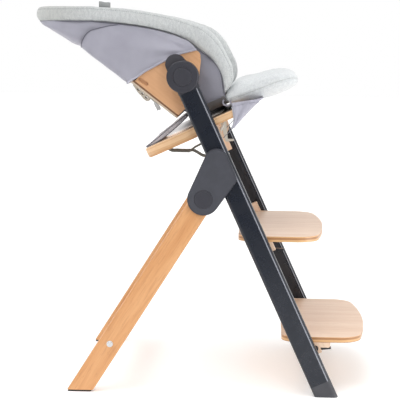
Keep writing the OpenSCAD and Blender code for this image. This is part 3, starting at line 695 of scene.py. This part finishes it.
def stitches(name, path, side, material):
    """A row of separate stitches along a path."""
    count = int(run_along(path)[-1] / STITCH_PITCH)
    path = evenly(path, 3 * count + 1)
    tangent, width, lift = frames_along(path, side)
    vertices, faces = [], []
    for i in range(1, 3 * count, 3):
        start = len(vertices)
        for along, size in ((-1.0, 0.35), (-0.6, 1.0), (0.6, 1.0), (1.0, 0.35)):
            centre = path[i] + tangent[i] * along * STITCH_LENGTH / 2
            for a, b in rounded_profile(6):
                vertices.append(centre + (width[i] * a + lift[i] * b) * STITCH_THICK / 2 * size)
        for r in range(3):
            for j in range(6):
                k = (j + 1) % 6
                a, b = start + 6 * r, start + 6 * r + 6
                faces.append((a + j, a + k, b + k, b + j))
        faces.append(tuple(start + j for j in range(5, -1, -1)))
        faces.append(tuple(start + 18 + j for j in range(6)))
    return new_object(name, vertices, faces, material)


def thicken(piece, thickness):
    """Gives an open skin its cloth's thickness, inwards."""
    modify(piece, "SOLIDIFY", thickness=thickness, offset=-1)
    apply_modifiers(piece)


def press(piece, shift):
    """Moves a piece's vertices outwards, each by its own shift."""
    set_coordinates(piece, coordinates(piece) + normals(piece) * shift[:, None])


# ---- the insert's outlines ----

HALF = 203.0        # half width of the rim
HEAD_X = -395.0     # rear end of the rim
HEAD_R = 150.0      # corner radius of the head end in plan
RIM_W = 27.0        # width of the padded rim, seen from above
TUB_HALF = 202.6    # half width of the fabric tub

# Upper and lower edge of the rim, paired, from its front end back to the head corner
RIM_TOP = [(46, 661), (55, 674), (60.3, 685), (61.8, 697), (60.6, 709), (57, 722), (48.5, 739),
           (27, 775), (0, 799), (-36, 813), (-82, 825.5), (-124, 833.5), (-168, 839.5),
           (-240, 844), (-300, 845.5)]
RIM_LOW = [(41, 655), (39, 668), (35, 692), (26, 712), (8, 734), (-12, 747.5), (-32, 762),
           (-58, 777), (-92, 788.5), (-128, 796.5), (-170, 802.5), (-236, 809), (-298, 810.5)]


def plan_half(x, back_inset=0.0, side_inset=0.0):
    """Half width of the insert at x, seen from above."""
    back = np.clip((HEAD_X + HEAD_R - np.asarray(x, float)) / (HEAD_R - back_inset), 0, 1)
    return HALF - HEAD_R + (HEAD_R - side_inset) * np.sqrt(1 - back**2)


def rim_stations():
    """Centre, outward and upward half axes of the rim's section along one side and the
    head's near half, ending on the middle plane."""
    half_w = RIM_W / 2
    centre, outward, upward = [], [], []
    corner = HEAD_X + HEAD_R
    for t, b in zip(curve(RIM_TOP, 150), curve(RIM_LOW, 150)):
        middle = (t + b) / 2
        if middle[0] < corner:
            break
        centre.append(at(middle[0], middle[1], -(HALF - half_w)))
        outward.append(np.array([0, -half_w, 0]) * MM)
        upward.append(np.array([(t - b)[0], 0, (t - b)[1]]) / 2 * MM)
    for angle in np.linspace(0.02, math.pi / 2, 44):
        reach = HEAD_R - half_w
        x = corner - reach * math.sin(angle)
        y = -(HALF - HEAD_R) - reach * math.cos(angle)
        back = math.sin(angle) ** 2
        centre.append(at(x, 828.0 - 0.6 * back, y))
        outward.append(np.array([-math.sin(angle), -math.cos(angle), 0]) * half_w * MM)
        upward.append(np.array([0, 0, (17.5 - 0.5 * back) * MM]))
    for y in np.linspace(-(HALF - HEAD_R), 0, 8)[1:]:
        centre.append(at(HEAD_X + half_w, 827.4, y))
        outward.append(np.array([-half_w, 0, 0]) * MM)
        upward.append(np.array([0, 0, 17.0 * MM]))
    return np.array(centre), np.array(outward), np.array(upward)


def mirrored(rows):
    """Continues near-side rows over the middle plane to the far side."""
    far = rows[-2::-1].copy()
    far[..., 1] *= -1
    return np.concatenate([rows, far])


def rim_path(a, b, count):
    """The line on the rim's surface at a outward and b upward, on its section's axes."""
    centre, outward, upward = rim_stations()
    return evenly(mirrored(centre + outward * a + upward * b), count)


# Section of the rim: (outward, upward) on its half axes, from its lower outer seam
RIM_SECTION = [(0.96, -1.0), (1.0, -0.75), (1.02, -0.35), (1.0, 0.1), (0.92, 0.52), (0.72, 0.83),
               (0.38, 0.98), (0.0, 1.02), (-0.45, 0.95), (-0.8, 0.72), (-0.98, 0.3), (-1.0, -0.25),
               (-0.9, -0.75), (-0.6, -0.98), (-0.1, -1.0), (0.5, -1.0), (0.96, -1.0)]


def head_share(centre):
    """0 along the sides of the rim, 1 across its head end."""
    return ease(-(centre[:, 0] - PIN_X) / MM, -(HEAD_X + HEAD_R) + 30, -HEAD_X - 20)


def make_rim(mats):
    centre, outward, upward = rim_stations()
    section = curve(RIM_SECTION, 37)[:-1]
    run = run_along(centre)
    size = 0.97 * np.sqrt(1 - (1 - np.clip(run / 0.016, 0.02, 1)) ** 2)[:, None, None]
    # across the head the lower seam lies further in, so the nose is round
    tuck = 0.62 * np.clip(-section[:, 1], 0, 1) ** 2 * np.clip(section[:, 0], 0, 1)
    a = section[None, :, 0] - head_share(centre)[:, None] * tuck[None]
    rows = (centre[:, None] + outward[:, None] * a[..., None] * size
            + upward[:, None] * section[None, :, 1:] * size)
    rim = loft("padded_rim", mirrored(rows), mats["heather"], ring=True, capped=True)
    puff(rim, 0.004, 3.0, 0.0018)
    seam = rim_path(0.86, 0.6, 900)
    sew(rim, seam, 0.0035, 0.0012)
    attach(rim, "backrest")
    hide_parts("insert_rim")
    thread = stitches("rim_stitches", onto(rim, seam, 0.0002), (0, 0, 1), mats["thread"])
    attach(thread, "backrest")
    foot = centre + outward * (0.955 - 0.62 * head_share(centre))[:, None] - upward * 0.985
    piping = cord("rim_piping", evenly(mirrored(foot), 380), (0, 0, 1), 0.0016, mats["piping"])
    attach(piping, "backrest")


# Upper and lower line of the insert's fabric tub, paired, from the head to the leg rest
TUB_TOP = [(-383, 812), (-376, 812), (-350, 811.8), (-300, 811.2), (-262, 810.6), (-240, 809.6),
           (-180, 804), (-128, 797), (-92, 789), (-58, 777.5), (-25, 757.5), (8, 734.5), (30, 703),
           (36, 680), (39, 656)]
TUB_LOW = [(-384, 811), (-377, 804.5), (-352, 791.5), (-321, 774.5), (-296, 760), (-284, 756.5),
           (-244, 755), (-180, 706.5), (-130, 668), (-92, 640), (-64, 619), (-38, 608), (-8, 608),
           (20, 619), (38, 628), (49, 634)]


def tub_section(station):
    """One U-shaped section of the tub, near rim to far rim."""
    (tx, tz), (bx, bz) = station
    angles = np.linspace(0, math.pi, 91)
    c, s = np.cos(angles), np.sin(angles)
    across = -np.sign(c) * np.abs(c) ** (1 / 3)
    drop = np.abs(s) ** (1 / 3)
    x = tx + (bx - tx) * drop
    z = tz + (bz - tz) * drop
    half = plan_half(tx, 10.0, 1.2)
    return np.stack([PIN_X + x * MM, across * half * MM, z * MM], axis=1)


def wrinkle(points, amount, scale, seed):
    """Soft, seeded noise of one value per point."""
    return np.array([amount * noise.noise(Vector(p) * scale + Vector((seed, 0, 0)))
                     for p in points])


def base_seam_z(x):
    """Height of the seam between the shell and its dark base."""
    return 636.1 + 0.43 * (x - 1)


def make_tub(mats):
    stations = zip(curve(TUB_TOP, 90), curve(TUB_LOW, 90))
    tub = loft("insert_tub", [tub_section(station) for station in stations], mats["tub"])
    tub.data.materials.append(mats["base"])
    for face in tub.data.polygons:
        middle = face.center
        rise = middle.z / MM - base_seam_z((middle.x - PIN_X) / MM)
        face.material_index = 1 if rise < 0 and middle.x > PIN_X - 0.06 else 0
    points = coordinates(tub)
    side = ease(np.abs(points[:, 1]), 0.16, 0.2)
    # tension folds that run down from the rim in front of the wings
    x = (points[:, 0] - PIN_X) / MM
    z = points[:, 2] / MM
    along = (x - 6) * 0.93 + (z - 690) * 0.36
    fan = np.sin(along / 5.2 + 0.02 * z) * ease(x, -22, 0) * ease(z, 650, 690)
    crease = np.exp(-(((x - 34) * 0.55 + (z - 668) * 0.83) / 4.0) ** 2) * ease(x, 0, 25)
    press(tub, side * (0.0017 * fan - 0.0022 * crease) + wrinkle(points, 0.0012, 24, 3))
    thicken(tub, 0.003)
    attach(tub, "backrest")
    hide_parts("insert_shell")
    for side, word in SIDES:
        line = [at(x, base_seam_z(x), side * (TUB_HALF - 0.12 * max(0, 10 - x)))
                for x in range(-22, 38, 4)]
        piping = cord("base_piping_" + word, curve(line, 40), (0, 1, 0), 0.002,
                      mats["piping"])
        attach(piping, "backrest")


# Edges of the pocket's side, seen from the side
POCKET_RIM = [(-193, 804.5), (-168, 802.5), (-128, 797.5), (-98, 790.5), (-60, 778.5), (-35, 767.5),
              (-21, 753)]
POCKET_SEAM = [(-193, 804.5), (-217, 800.5), (-238.6, 795), (-254, 789), (-262.6, 781.5),
               (-269.4, 770), (-274.5, 754.5)]
POCKET_LOW = [(-274.5, 752.5), (-253, 736.3), (-224, 715.8), (-194.5, 695), (-181, 684.8),
              (-171, 678.5)]
POCKET_HEM = [(-21, 753), (-39, 748.2), (-56.6, 743.6), (-88, 729.2), (-118, 712.5), (-134, 703.5),
              (-149, 692.5), (-160, 686), (-171, 678.5)]
POCKET_HALF = 217.4     # half width where the pocket stands outside the wings
POCKET_ROWS = 70
POCKET_COLUMNS = 46
HEM_FRONT = (-10, 742)  # where the pocket's tension folds meet
TURN_UNDER = 13.0       # radius at which its lower edge turns under


def pocket_side():
    """The pocket's near side as a grid from seam to hem and from rim to lower edge."""
    rim, low = (curve(line, POCKET_ROWS) for line in (POCKET_RIM, POCKET_LOW))
    seam, hem = (curve(line, POCKET_COLUMNS) for line in (POCKET_SEAM, POCKET_HEM))
    s = np.linspace(0, 1, POCKET_ROWS)[:, None, None]
    w = np.linspace(0, 1, POCKET_COLUMNS)[None, :, None]
    grid = ((1 - w) * rim[:, None] + w * low[:, None] + (1 - s) * seam[None] + s * hem[None]
            - (1 - s) * (1 - w) * rim[0] - s * (1 - w) * rim[-1]
            - (1 - s) * w * low[0] - s * w * low[-1])
    return grid, s[..., 0], w[..., 0]


def make_pocket(mats):
    grid, s, w = pocket_side()
    x, z = grid[..., 0], grid[..., 1]
    flare = 1 - (1 - ease(w, 0.05, 0.8)) * (1 - ease(s, 0.62, 1.0))
    half = TUB_HALF + (POCKET_HALF - TUB_HALF) * flare * ease(x, -282, -248)
    # tension folds from the hem's front end up towards the rim
    turn = np.arctan2(z - HEM_FRONT[1], x - HEM_FRONT[0])
    reach = np.hypot(z - HEM_FRONT[1], x - HEM_FRONT[0])
    fold = np.sin(turn * 17 + 0.6) * ease(reach, 22, 60) * (1 - ease(reach, 90, 170))
    fold = fold * ease(w, 0.02, 0.18) * (1 - ease(w, 0.75, 0.98))
    half = half + 2.1 * fold * (1 - ease(s, 0.93, 1.0))
    half = half + 1.6 * np.exp(-((w - 0.5) / 0.3) ** 2) * np.exp(-((s - 0.35) / 0.3) ** 2)
    lap = np.clip(TURN_UNDER - np.linalg.norm(grid - grid[:, -1:], axis=2), 0, TURN_UNDER)
    half = half - (TURN_UNDER - np.sqrt(TURN_UNDER**2 - lap**2)) * (1 - ease(s, 0.97, 1))
    near = np.stack([PIN_X + x * MM, -half * MM, z * MM], axis=2)
    under = []
    for share in np.linspace(0, 1, 62)[1:-1]:
        row = near[:, -1].copy()
        row[:, 1] *= 1 - 2 * share
        row[:, 2] += 0.0012 * 4 * share * (1 - share)
        under.append(row)
    far = near[:, ::-1] * (1, -1, 1)
    rows = np.concatenate([near, np.stack(under, axis=1), far], axis=1)
    pocket = loft("insert_pocket", rows, mats["shell"])
    points = coordinates(pocket)
    press(pocket, wrinkle(points, 0.0013, 17, 9) + wrinkle(points, 0.0005, 60, 5))
    thicken(pocket, 0.0018)
    hem = sweep("pocket_hem", evenly(rows[-1], 260), (0, 0, 1), 0.0046, 0.0022, mats["apron"], 10)
    seam = cord("pocket_seam", evenly(rows[0], 240), (1, 0, 0), 0.0022, mats["piping"])
    for piece in (pocket, hem, seam):
        attach(piece, "backrest")


# ---- liner and harness ----

LINER_TOP = [(-372, 827), (-340, 826), (-290, 826), (-240, 824), (-180, 818), (-124, 810),
             (-70, 797), (-30, 780), (2, 757), (24, 728), (36, 700), (41, 680)]
LINER_LOW = [(-362, 822), (-330, 806), (-275, 791), (-225, 771), (-125, 711), (-80, 676),
             (-50, 653), (-30, 642), (-14, 641), (10, 651), (28, 659), (38, 664)]


LINER_STEPS = 120
LINER_CURVES = curve(LINER_TOP, LINER_STEPS), curve(LINER_LOW, LINER_STEPS)
LINER_ROUND = 4.2       # how square the liner's section is
LINER_PUFF = 0.0046     # height of its padded channels


def liner_point(share, across):
    """A point on the liner's upper face; share runs from head to front, across in mm."""
    place = share * (LINER_STEPS - 1)
    t, b = (np.array([np.interp(place, range(LINER_STEPS), axis) for axis in line.T])
            for line in LINER_CURVES)
    half = plan_half(t[0], RIM_W - 2, RIM_W - 2)
    rise = (1 - min(1, abs(across) / half) ** LINER_ROUND) ** (1 / LINER_ROUND)
    return at(*(t + (b - t) * rise), across)


def above_liner(share, across, lift):
    """A point lift mm above the liner, for the harness."""
    return liner_point(share, across) + np.array([0, 0, lift * MM])


def make_liner(mats):
    angles = np.linspace(-1, 1, 73)
    bend = np.sign(angles) * (1 - (1 - np.abs(angles)) ** 1.35)
    rows = []
    for share in np.linspace(0, 1, 76):
        edge = liner_point(share, math.inf)
        half = plan_half((edge[0] - PIN_X) / MM, RIM_W - 2, RIM_W - 2)
        rows.append([liner_point(share, half * k) for k in bend])
    liner = loft("insert_liner_pad", rows, mats["heather"])
    if normals(liner)[:, 2].mean() < 0:
        liner.data.flip_normals()
    points = coordinates(liner)
    x = (points[:, 0] - PIN_X) / MM
    y = points[:, 1] / MM
    # padded channels: seams across the back and beside the middle
    across = np.abs(np.sin((x + 372) / 52 * math.pi))
    beside = np.minimum(1, np.abs(np.abs(y) - 96) / 26)
    inner = ease(-np.abs(y), -150, -110) * ease(x, -372, -340)
    puffed = LINER_PUFF * np.sqrt(across * beside + 0.0001) * inner * (1 - ease(x, 18, 38))
    press(liner, puffed - LINER_PUFF + wrinkle(points, 0.001, 30, 21))
    thicken(liner, 0.006)
    attach(liner, "backrest")
    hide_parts("insert_liner")


def harness_strap(name, spine, side, material, width=WEBBING_WIDTH, count=50):
    strap = sweep(name, curve(spine, count), side, width, WEBBING_THICK, material, 14, 4)
    attach(strap, "backrest")
    return strap


def make_harness(mats):
    taper = np.sqrt(np.clip(np.sin(np.linspace(0.06, math.pi - 0.06, 40)) * 4, 0, 1))
    for side, word in SIDES:
        spine = [above_liner(share, side * across, lift) for share, across, lift in (
            (0.36, 52, -1.0), (0.39, 52, 1.4), (0.45, 51, 1.6), (0.52, 49, 1.6), (0.58, 44, 3.0),
            (0.64, 36, 6.0), (0.70, 29, 10.5))]
        harness_strap("shoulder_strap_" + word, spine, (0, 1, 0), mats["webbing"], count=60)
        pad_spine = [point + np.array([0.001, 0, 0.0035]) for point in spine[1:5]]
        pad = sweep("shoulder_pad_" + word, curve(pad_spine, 40), (0, 1, 0),
                    0.040 * taper, 0.009 * taper, mats["heather"], 20, 2.6)
        attach(pad, "backrest")
        lap_spine = [above_liner(0.76, side * across, lift) + np.array([-0.006, 0, 0])
                     for across, lift in ((158, 2), (140, 4.5), (110, 6), (80, 8.5), (52, 13),
                                          (27, 16))]
        harness_strap("lap_strap_" + word, lap_spine, (-0.5, 0, 0.6), mats["webbing"])
    crotch_spine = [above_liner(share, 0, lift) for share, lift in (
        (0.97, 1.6), (0.93, 2.2), (0.88, 2.6), (0.84, 2.8))]
    crotch = harness_strap("crotch_strap", crotch_spine, (0, 1, 0), mats["webbing"], 0.028, 30)
    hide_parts("harness_straps")


# ---- leg rest ----

REST_HALF = 202.0
REST_REAR = 39.0
REST_FRONT = 205.0
REST_CORNER = 55.0
REST_REAR_CORNER = 14.0
REST_SEAM = [(39, 651), (41.5, 645.5), (47, 641.5), (56, 643), (80, 653.5), (107, 664.5),
             (141, 677.5), (168, 688), (184, 694.5), (196, 696), (205, 690)]
REST_TOP = [(39, 653), (42, 659), (49, 668.5), (58, 675.5), (68, 680.5), (84, 685.5), (111, 690.5),
            (137, 698), (162, 703.5), (176, 705), (188, 703.2), (198, 699), (205, 690)]
REST_LOW = [(39, 649), (41, 644), (48, 638), (60, 636), (94, 642), (122, 647.5), (143, 654),
            (163, 661.5), (189, 673.5), (200, 681), (205, 690)]


REST_CURVES = {name: curve(outline, 200).T for name, outline in
               (("seam", REST_SEAM), ("top", REST_TOP), ("low", REST_LOW))}


def rest_height(line, x):
    """Height of one of the leg rest's lines at x."""
    return float(np.interp(x, *REST_CURVES[line]))


def make_leg_rest(mats):
    """Two shells that meet on the seam line, crowned away from their edges."""
    rows = []
    for v in np.linspace(-1, 1, 61):
        y = REST_HALF * math.sin(v * math.pi / 2)
        corner = max(0.0, abs(y) - (REST_HALF - REST_CORNER))
        front = REST_FRONT - (REST_CORNER - math.sqrt(REST_CORNER**2 - corner**2))
        rounded = max(0.0, abs(y) - (REST_HALF - REST_REAR_CORNER))
        rear = REST_REAR + REST_REAR_CORNER - math.sqrt(REST_REAR_CORNER**2 - rounded**2)
        edge = min(1.0, (REST_HALF - abs(y)) / 26)
        crown = math.sqrt(1 - (1 - edge) ** 2)
        up, down = [], []
        for u in np.linspace(0, 1, 49):
            share = (1 - math.cos(u * math.pi)) / 2
            along = REST_REAR + (REST_FRONT - REST_REAR) * share
            seam = rest_height("seam", along)
            for face, line in ((up, "top"), (down, "low")):
                height = seam + (rest_height(line, along) - seam) * crown
                face.append(at(rear + (front - rear) * share, height, y))
        rows.append(np.array(up + down[-2:0:-1]))
    rest = loft("leg_rest_cushion", rows, mats["pale_heather"], ring=True, capped=True)
    puff(rest, 0.0045, 3.0, 0.0022)
    plan = [(REST_FRONT, y) for y in np.linspace(0, REST_HALF - REST_CORNER, 14)[:-1]]
    plan += [(REST_FRONT - REST_CORNER * (1 - math.cos(angle)),
              REST_HALF - REST_CORNER * (1 - math.sin(angle)))
             for angle in np.linspace(0, math.pi / 2, 16)]
    plan += [(x, REST_HALF) for x in np.linspace(REST_FRONT - REST_CORNER, 48, 18)[1:]]
    near = np.array([at(x, rest_height("seam", x), -y) for x, y in plan])
    line = evenly(mirrored(near[::-1])[::-1], 420)
    line = eased(onto(rest, eased(onto(rest, line), 12)), 4)
    sew(rest, line, 0.005, 0.0018)
    attach(rest, "backrest")
    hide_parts("leg_rest")
    piping = cord("leg_rest_piping", eased(onto(rest, line, 0.0002), 3), (0, 0, 1), 0.002,
                  mats["heather"])
    attach(piping, "backrest")


# ---- apron ----

APRON_HALF = 221.5
APRON_BORDER = [(55.5, 638.5), (60.7, 620.5), (62.7, 603), (61.5, 592), (57, 582)]
APRON_FRONT = [(126, 650), (108, 636), (87.5, 615), (74, 600), (60.5, 584.5)]
SPLIT_ROW = 8           # where the heading ends and the skirt begins
APRON_STEPS = 56


def apron_rows():
    """Rows from the leg rest down, each running round the near side, front and far side."""
    rows = []
    border = curve(APRON_BORDER, APRON_STEPS)
    front = curve(APRON_FRONT, APRON_STEPS)
    for down, b, f in zip(np.arange(APRON_STEPS) / (APRON_STEPS - 1), border, front):
        points = []
        for k in np.linspace(0, 1, 26):
            x, z = b + (f - b) * k
            turn = max(0.0, (k - 0.72) / 0.28)
            bend = 14 * (1 - math.sqrt(1 - 0.96 * turn * turn)) * (1 - 0.8 * down)
            ripple = 3.0 * math.sin(9.5 * k + 1.2) * math.sin(math.pi * min(1, 1.3 * k))
            ripple *= ease(1 - down, 0.0, 0.5) * (1 - 0.6 * turn)
            points.append((x, z, -(APRON_HALF - bend + ripple * 0.8 - 1.0)))
        x, z = f
        start = points[-1][2]
        for k in np.linspace(0, 1, 74)[1:-1]:
            y = start * (1 - 2 * k)
            fold = 2.2 * math.sin(y / 9.0 + 1.7 * math.sin(y / 31)) * (0.35 + 0.65 * down)
            fold *= math.sin(math.pi * k) ** 0.3
            points.append((x + 0.7 * fold, z - 0.7 * fold, y))
        points += [(px, pz, -py) for px, pz, py in points[25::-1]]
        rows.append([at(px, pz, py) for px, pz, py in points])
    return np.array(rows)


def make_apron(mats):
    rows = apron_rows()
    # the apron is made as two pieces, the heading and the skirt, which share one row
    heading = loft("apron_heading", rows[: SPLIT_ROW + 1], mats["apron"])
    skirt = loft("apron_skirt", rows[SPLIT_ROW:], mats["apron"])
    for piece in (heading, skirt):
        if normals(piece)[len(piece.data.vertices) // 2][0] < 0:
            piece.data.flip_normals()
        thicken(piece, 0.0014)
    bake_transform(heading)
    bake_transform(skirt)
    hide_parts("front_apron")
    for side, word in SIDES:
        border = evenly(rows[SPLIT_ROW:, 0] * (1, -side, 1), 60)
        hem = sweep("apron_border_" + word, border, (1, 0, 0), 0.0042, 0.0026, mats["binding"], 10)
        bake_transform(hem)
        tie = [at(x, z, side * y) for x, z, y in (
            (60.3, 585.0, 220.5), (55.5, 579, 219.5), (50.7, 574, 218), (45.5, 568.5, 214),
            (40.4, 562.7, 208), (34, 556, 200))]
        elastic = sweep("apron_elastic_" + word, curve(tie, 40), (0, 1, 0), 0.0034, 0.0018,
                        mats["webbing"], 10, 2.5)
        attach(elastic, "seat")


# ---- straps under and behind the seat, pad, label ----


# Middle line of the padded flap behind the seat board, and its thickness along that line
FLAP_SPINE = [(-131, 537.5), (-118, 545.5), (-102, 556.5), (-81, 574), (-60.5, 591.5), (-44, 606)]
FLAP_THICK = [2.0, 7.5, 10.5, 11.0, 9.0, 7.0]
FLAP_HALF = 185.0
FLAP_STEPS = 46


def make_seat_straps(mats):
    middle = curve(FLAP_SPINE, FLAP_STEPS)
    places = np.linspace(0, len(FLAP_THICK) - 1, FLAP_STEPS)
    thick = np.interp(places, range(len(FLAP_THICK)), FLAP_THICK)
    ahead = np.gradient(middle, axis=0)
    ahead /= np.linalg.norm(ahead, axis=1)[:, None]
    square = np.stack([-ahead[:, 1], ahead[:, 0]], axis=1) * thick[:, None] / 2
    # the flap is made in a lower and an upper half, which share one point of its middle line
    halves = (("lower", slice(0, 24), "seat", (-120, 545), (-88, 568)),
              ("upper", slice(23, FLAP_STEPS), "backrest", (-62, 590), (-80, 575)))
    for half, part, body, moving, still in halves:
        line, out = middle[part], square[part]
        core = np.concatenate([line, line[::-1]])
        outline = np.concatenate([line + out, (line - out)[::-1]])
        rows = []
        for v in np.linspace(-1, 1, 60):
            y = FLAP_HALF * math.sin(v * math.pi / 2)
            edge = min(1.0, (FLAP_HALF - abs(y)) / 7)
            size = 0.72 + 0.28 * math.sqrt(1 - (1 - edge) ** 2)
            rows.append([at(x, z, y) for x, z in core + (outline - core) * size])
        flap = loft("rear_flap_" + half, rows, mats["binding"], ring=True, capped=True)
        if half == "lower":
            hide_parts("rear_strap")
        pieces = [flap]
        for side, word in SIDES:
            for face, level in (("top", 1), ("under", -1)):
                path = [at(x, z, side * (FLAP_HALF - 0.5)) for x, z in line + out * 0.8 * level]
                name = "_".join(("rear_flap", half, face, "piping", word))
                pieces.append(cord(name, path, (0, 1, 0), 0.0024, mats["piping"]))
        for piece in pieces:
            if body == "seat":
                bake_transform(piece)
            else:
                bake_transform(piece)
    loops = {
        "seat_web_rear": ([(-97, 529), (-94, 520), (-86, 515.5), (-76, 515.2), (-60, 514.8),
                           (-45, 515)], 0.026, 0.0075),
        "seat_web_upper": ([(-47, 514.5), (-41, 517.5), (-34, 523), (-27, 527), (-16, 533),
                            (0, 548)], 0.02, 0.0045),
        "seat_web_lower": ([(-47, 515), (-38, 516.5), (-29, 512.5), (-13, 504), (6, 506),
                            (20, 528), (22, 550)], 0.022, 0.006),
    }
    for name, (spine, width, thick) in loops.items():
        path = curve([at(x, z) for x, z in spine], 50)
        strap = sweep(name, path, (0, 1, 0), width, thick, mats["olive"], 16, 4)
        attach(strap, "seat")
        if name == "seat_web_rear":
            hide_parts("under_seat_webbing")


def make_tails(mats):
    """Loose webbing ends below the strap adjusters."""
    for side, word in SIDES:
        spine = [at(x, z, side * 165) for x, z in (
            (-124, 646), (-119, 640), (-113, 632), (-108, 625), (-105, 618))]
        turn = ease(np.arange(30), 4, 20) * math.radians(24) * side
        tail = sweep("webbing_tail_" + word, curve(spine, 30), (0, 1, 0), WEBBING_WIDTH, 0.0024,
                     mats["pale_webbing"], 14, 4, roll=turn)
        attach(tail, "backrest")
        if side < 0:
            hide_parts("webbing_tails")


def make_seat_pad(mats):
    """A thin quilted pad on the seat board."""
    low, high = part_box("seat_pad")
    centre = (np.array(low) + np.array(high)) / 2
    along = np.array([math.cos(LEG_LEAN), 0, math.sin(LEG_LEAN)])
    out = np.array(LEG_AXIS)
    rows = []
    for level in np.linspace(-1, 1, 13):
        size = max(0.02, (1 - abs(level) ** 2.4)) ** (1 / 2.4)
        grow = 0.5 + 0.5 * size
        rows.append([centre + along * a * 0.073 * grow + ACROSS * b * 0.178 * (0.8 + 0.2 * size)
                     + out * level * 0.0036 for a, b in rounded_profile(120, 6.0)])
    pad = loft("seat_pad_cushion", rows, mats["pad"], ring=True, capped=True)
    attach(pad, "seat")
    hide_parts("seat_pad")


def make_label(mats):
    """A folded blank label sewn into the rim's inner seam."""
    low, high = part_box("rim_label")
    rows = []
    for share in np.linspace(0, 1, 14):
        x = low.x + (high.x - low.x) * share
        y = (low.y + high.y) / 2 + 0.0006 * math.sin(share * 5)
        base = 0.8392 - 0.0026 * share
        top = 0.854 - 0.0024 * share + 0.0004 * math.sin(share * 9)
        rows.append([(x, y + 0.0009 * math.cos(t), base + (top - base) * math.sin(t) ** 0.5)
                     for t in np.linspace(0, math.pi, 15)])
    label = loft("blank_rim_label", rows, mats["label"])
    thicken(label, 0.0004)
    attach(label, "backrest")
    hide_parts("rim_label")


def make_loops(mats):
    """The small binding loops at the rim's front ends."""
    for side, word in SIDES:
        y = side * 202.5
        loop = [at(46 + 8.5 * math.cos(a), 639.5 - 8 * math.sin(a), y - side * 2 * math.sin(a / 2))
                for a in np.linspace(-0.6, math.pi * 1.2, 14)]
        ring = sweep("binding_loop_" + word, curve(loop, 40), (0, 1, 0), 0.006, 0.0036,
                     mats["shell"], 10)
        attach(ring, "backrest")


make_camera()
materials = make_materials()
dress_nodes(materials)
make_studio()
for make in (make_rim, make_tub, make_pocket, make_liner, make_harness, make_leg_rest, make_apron,
             make_seat_straps, make_tails, make_seat_pad, make_label, make_loops):
    make(materials)
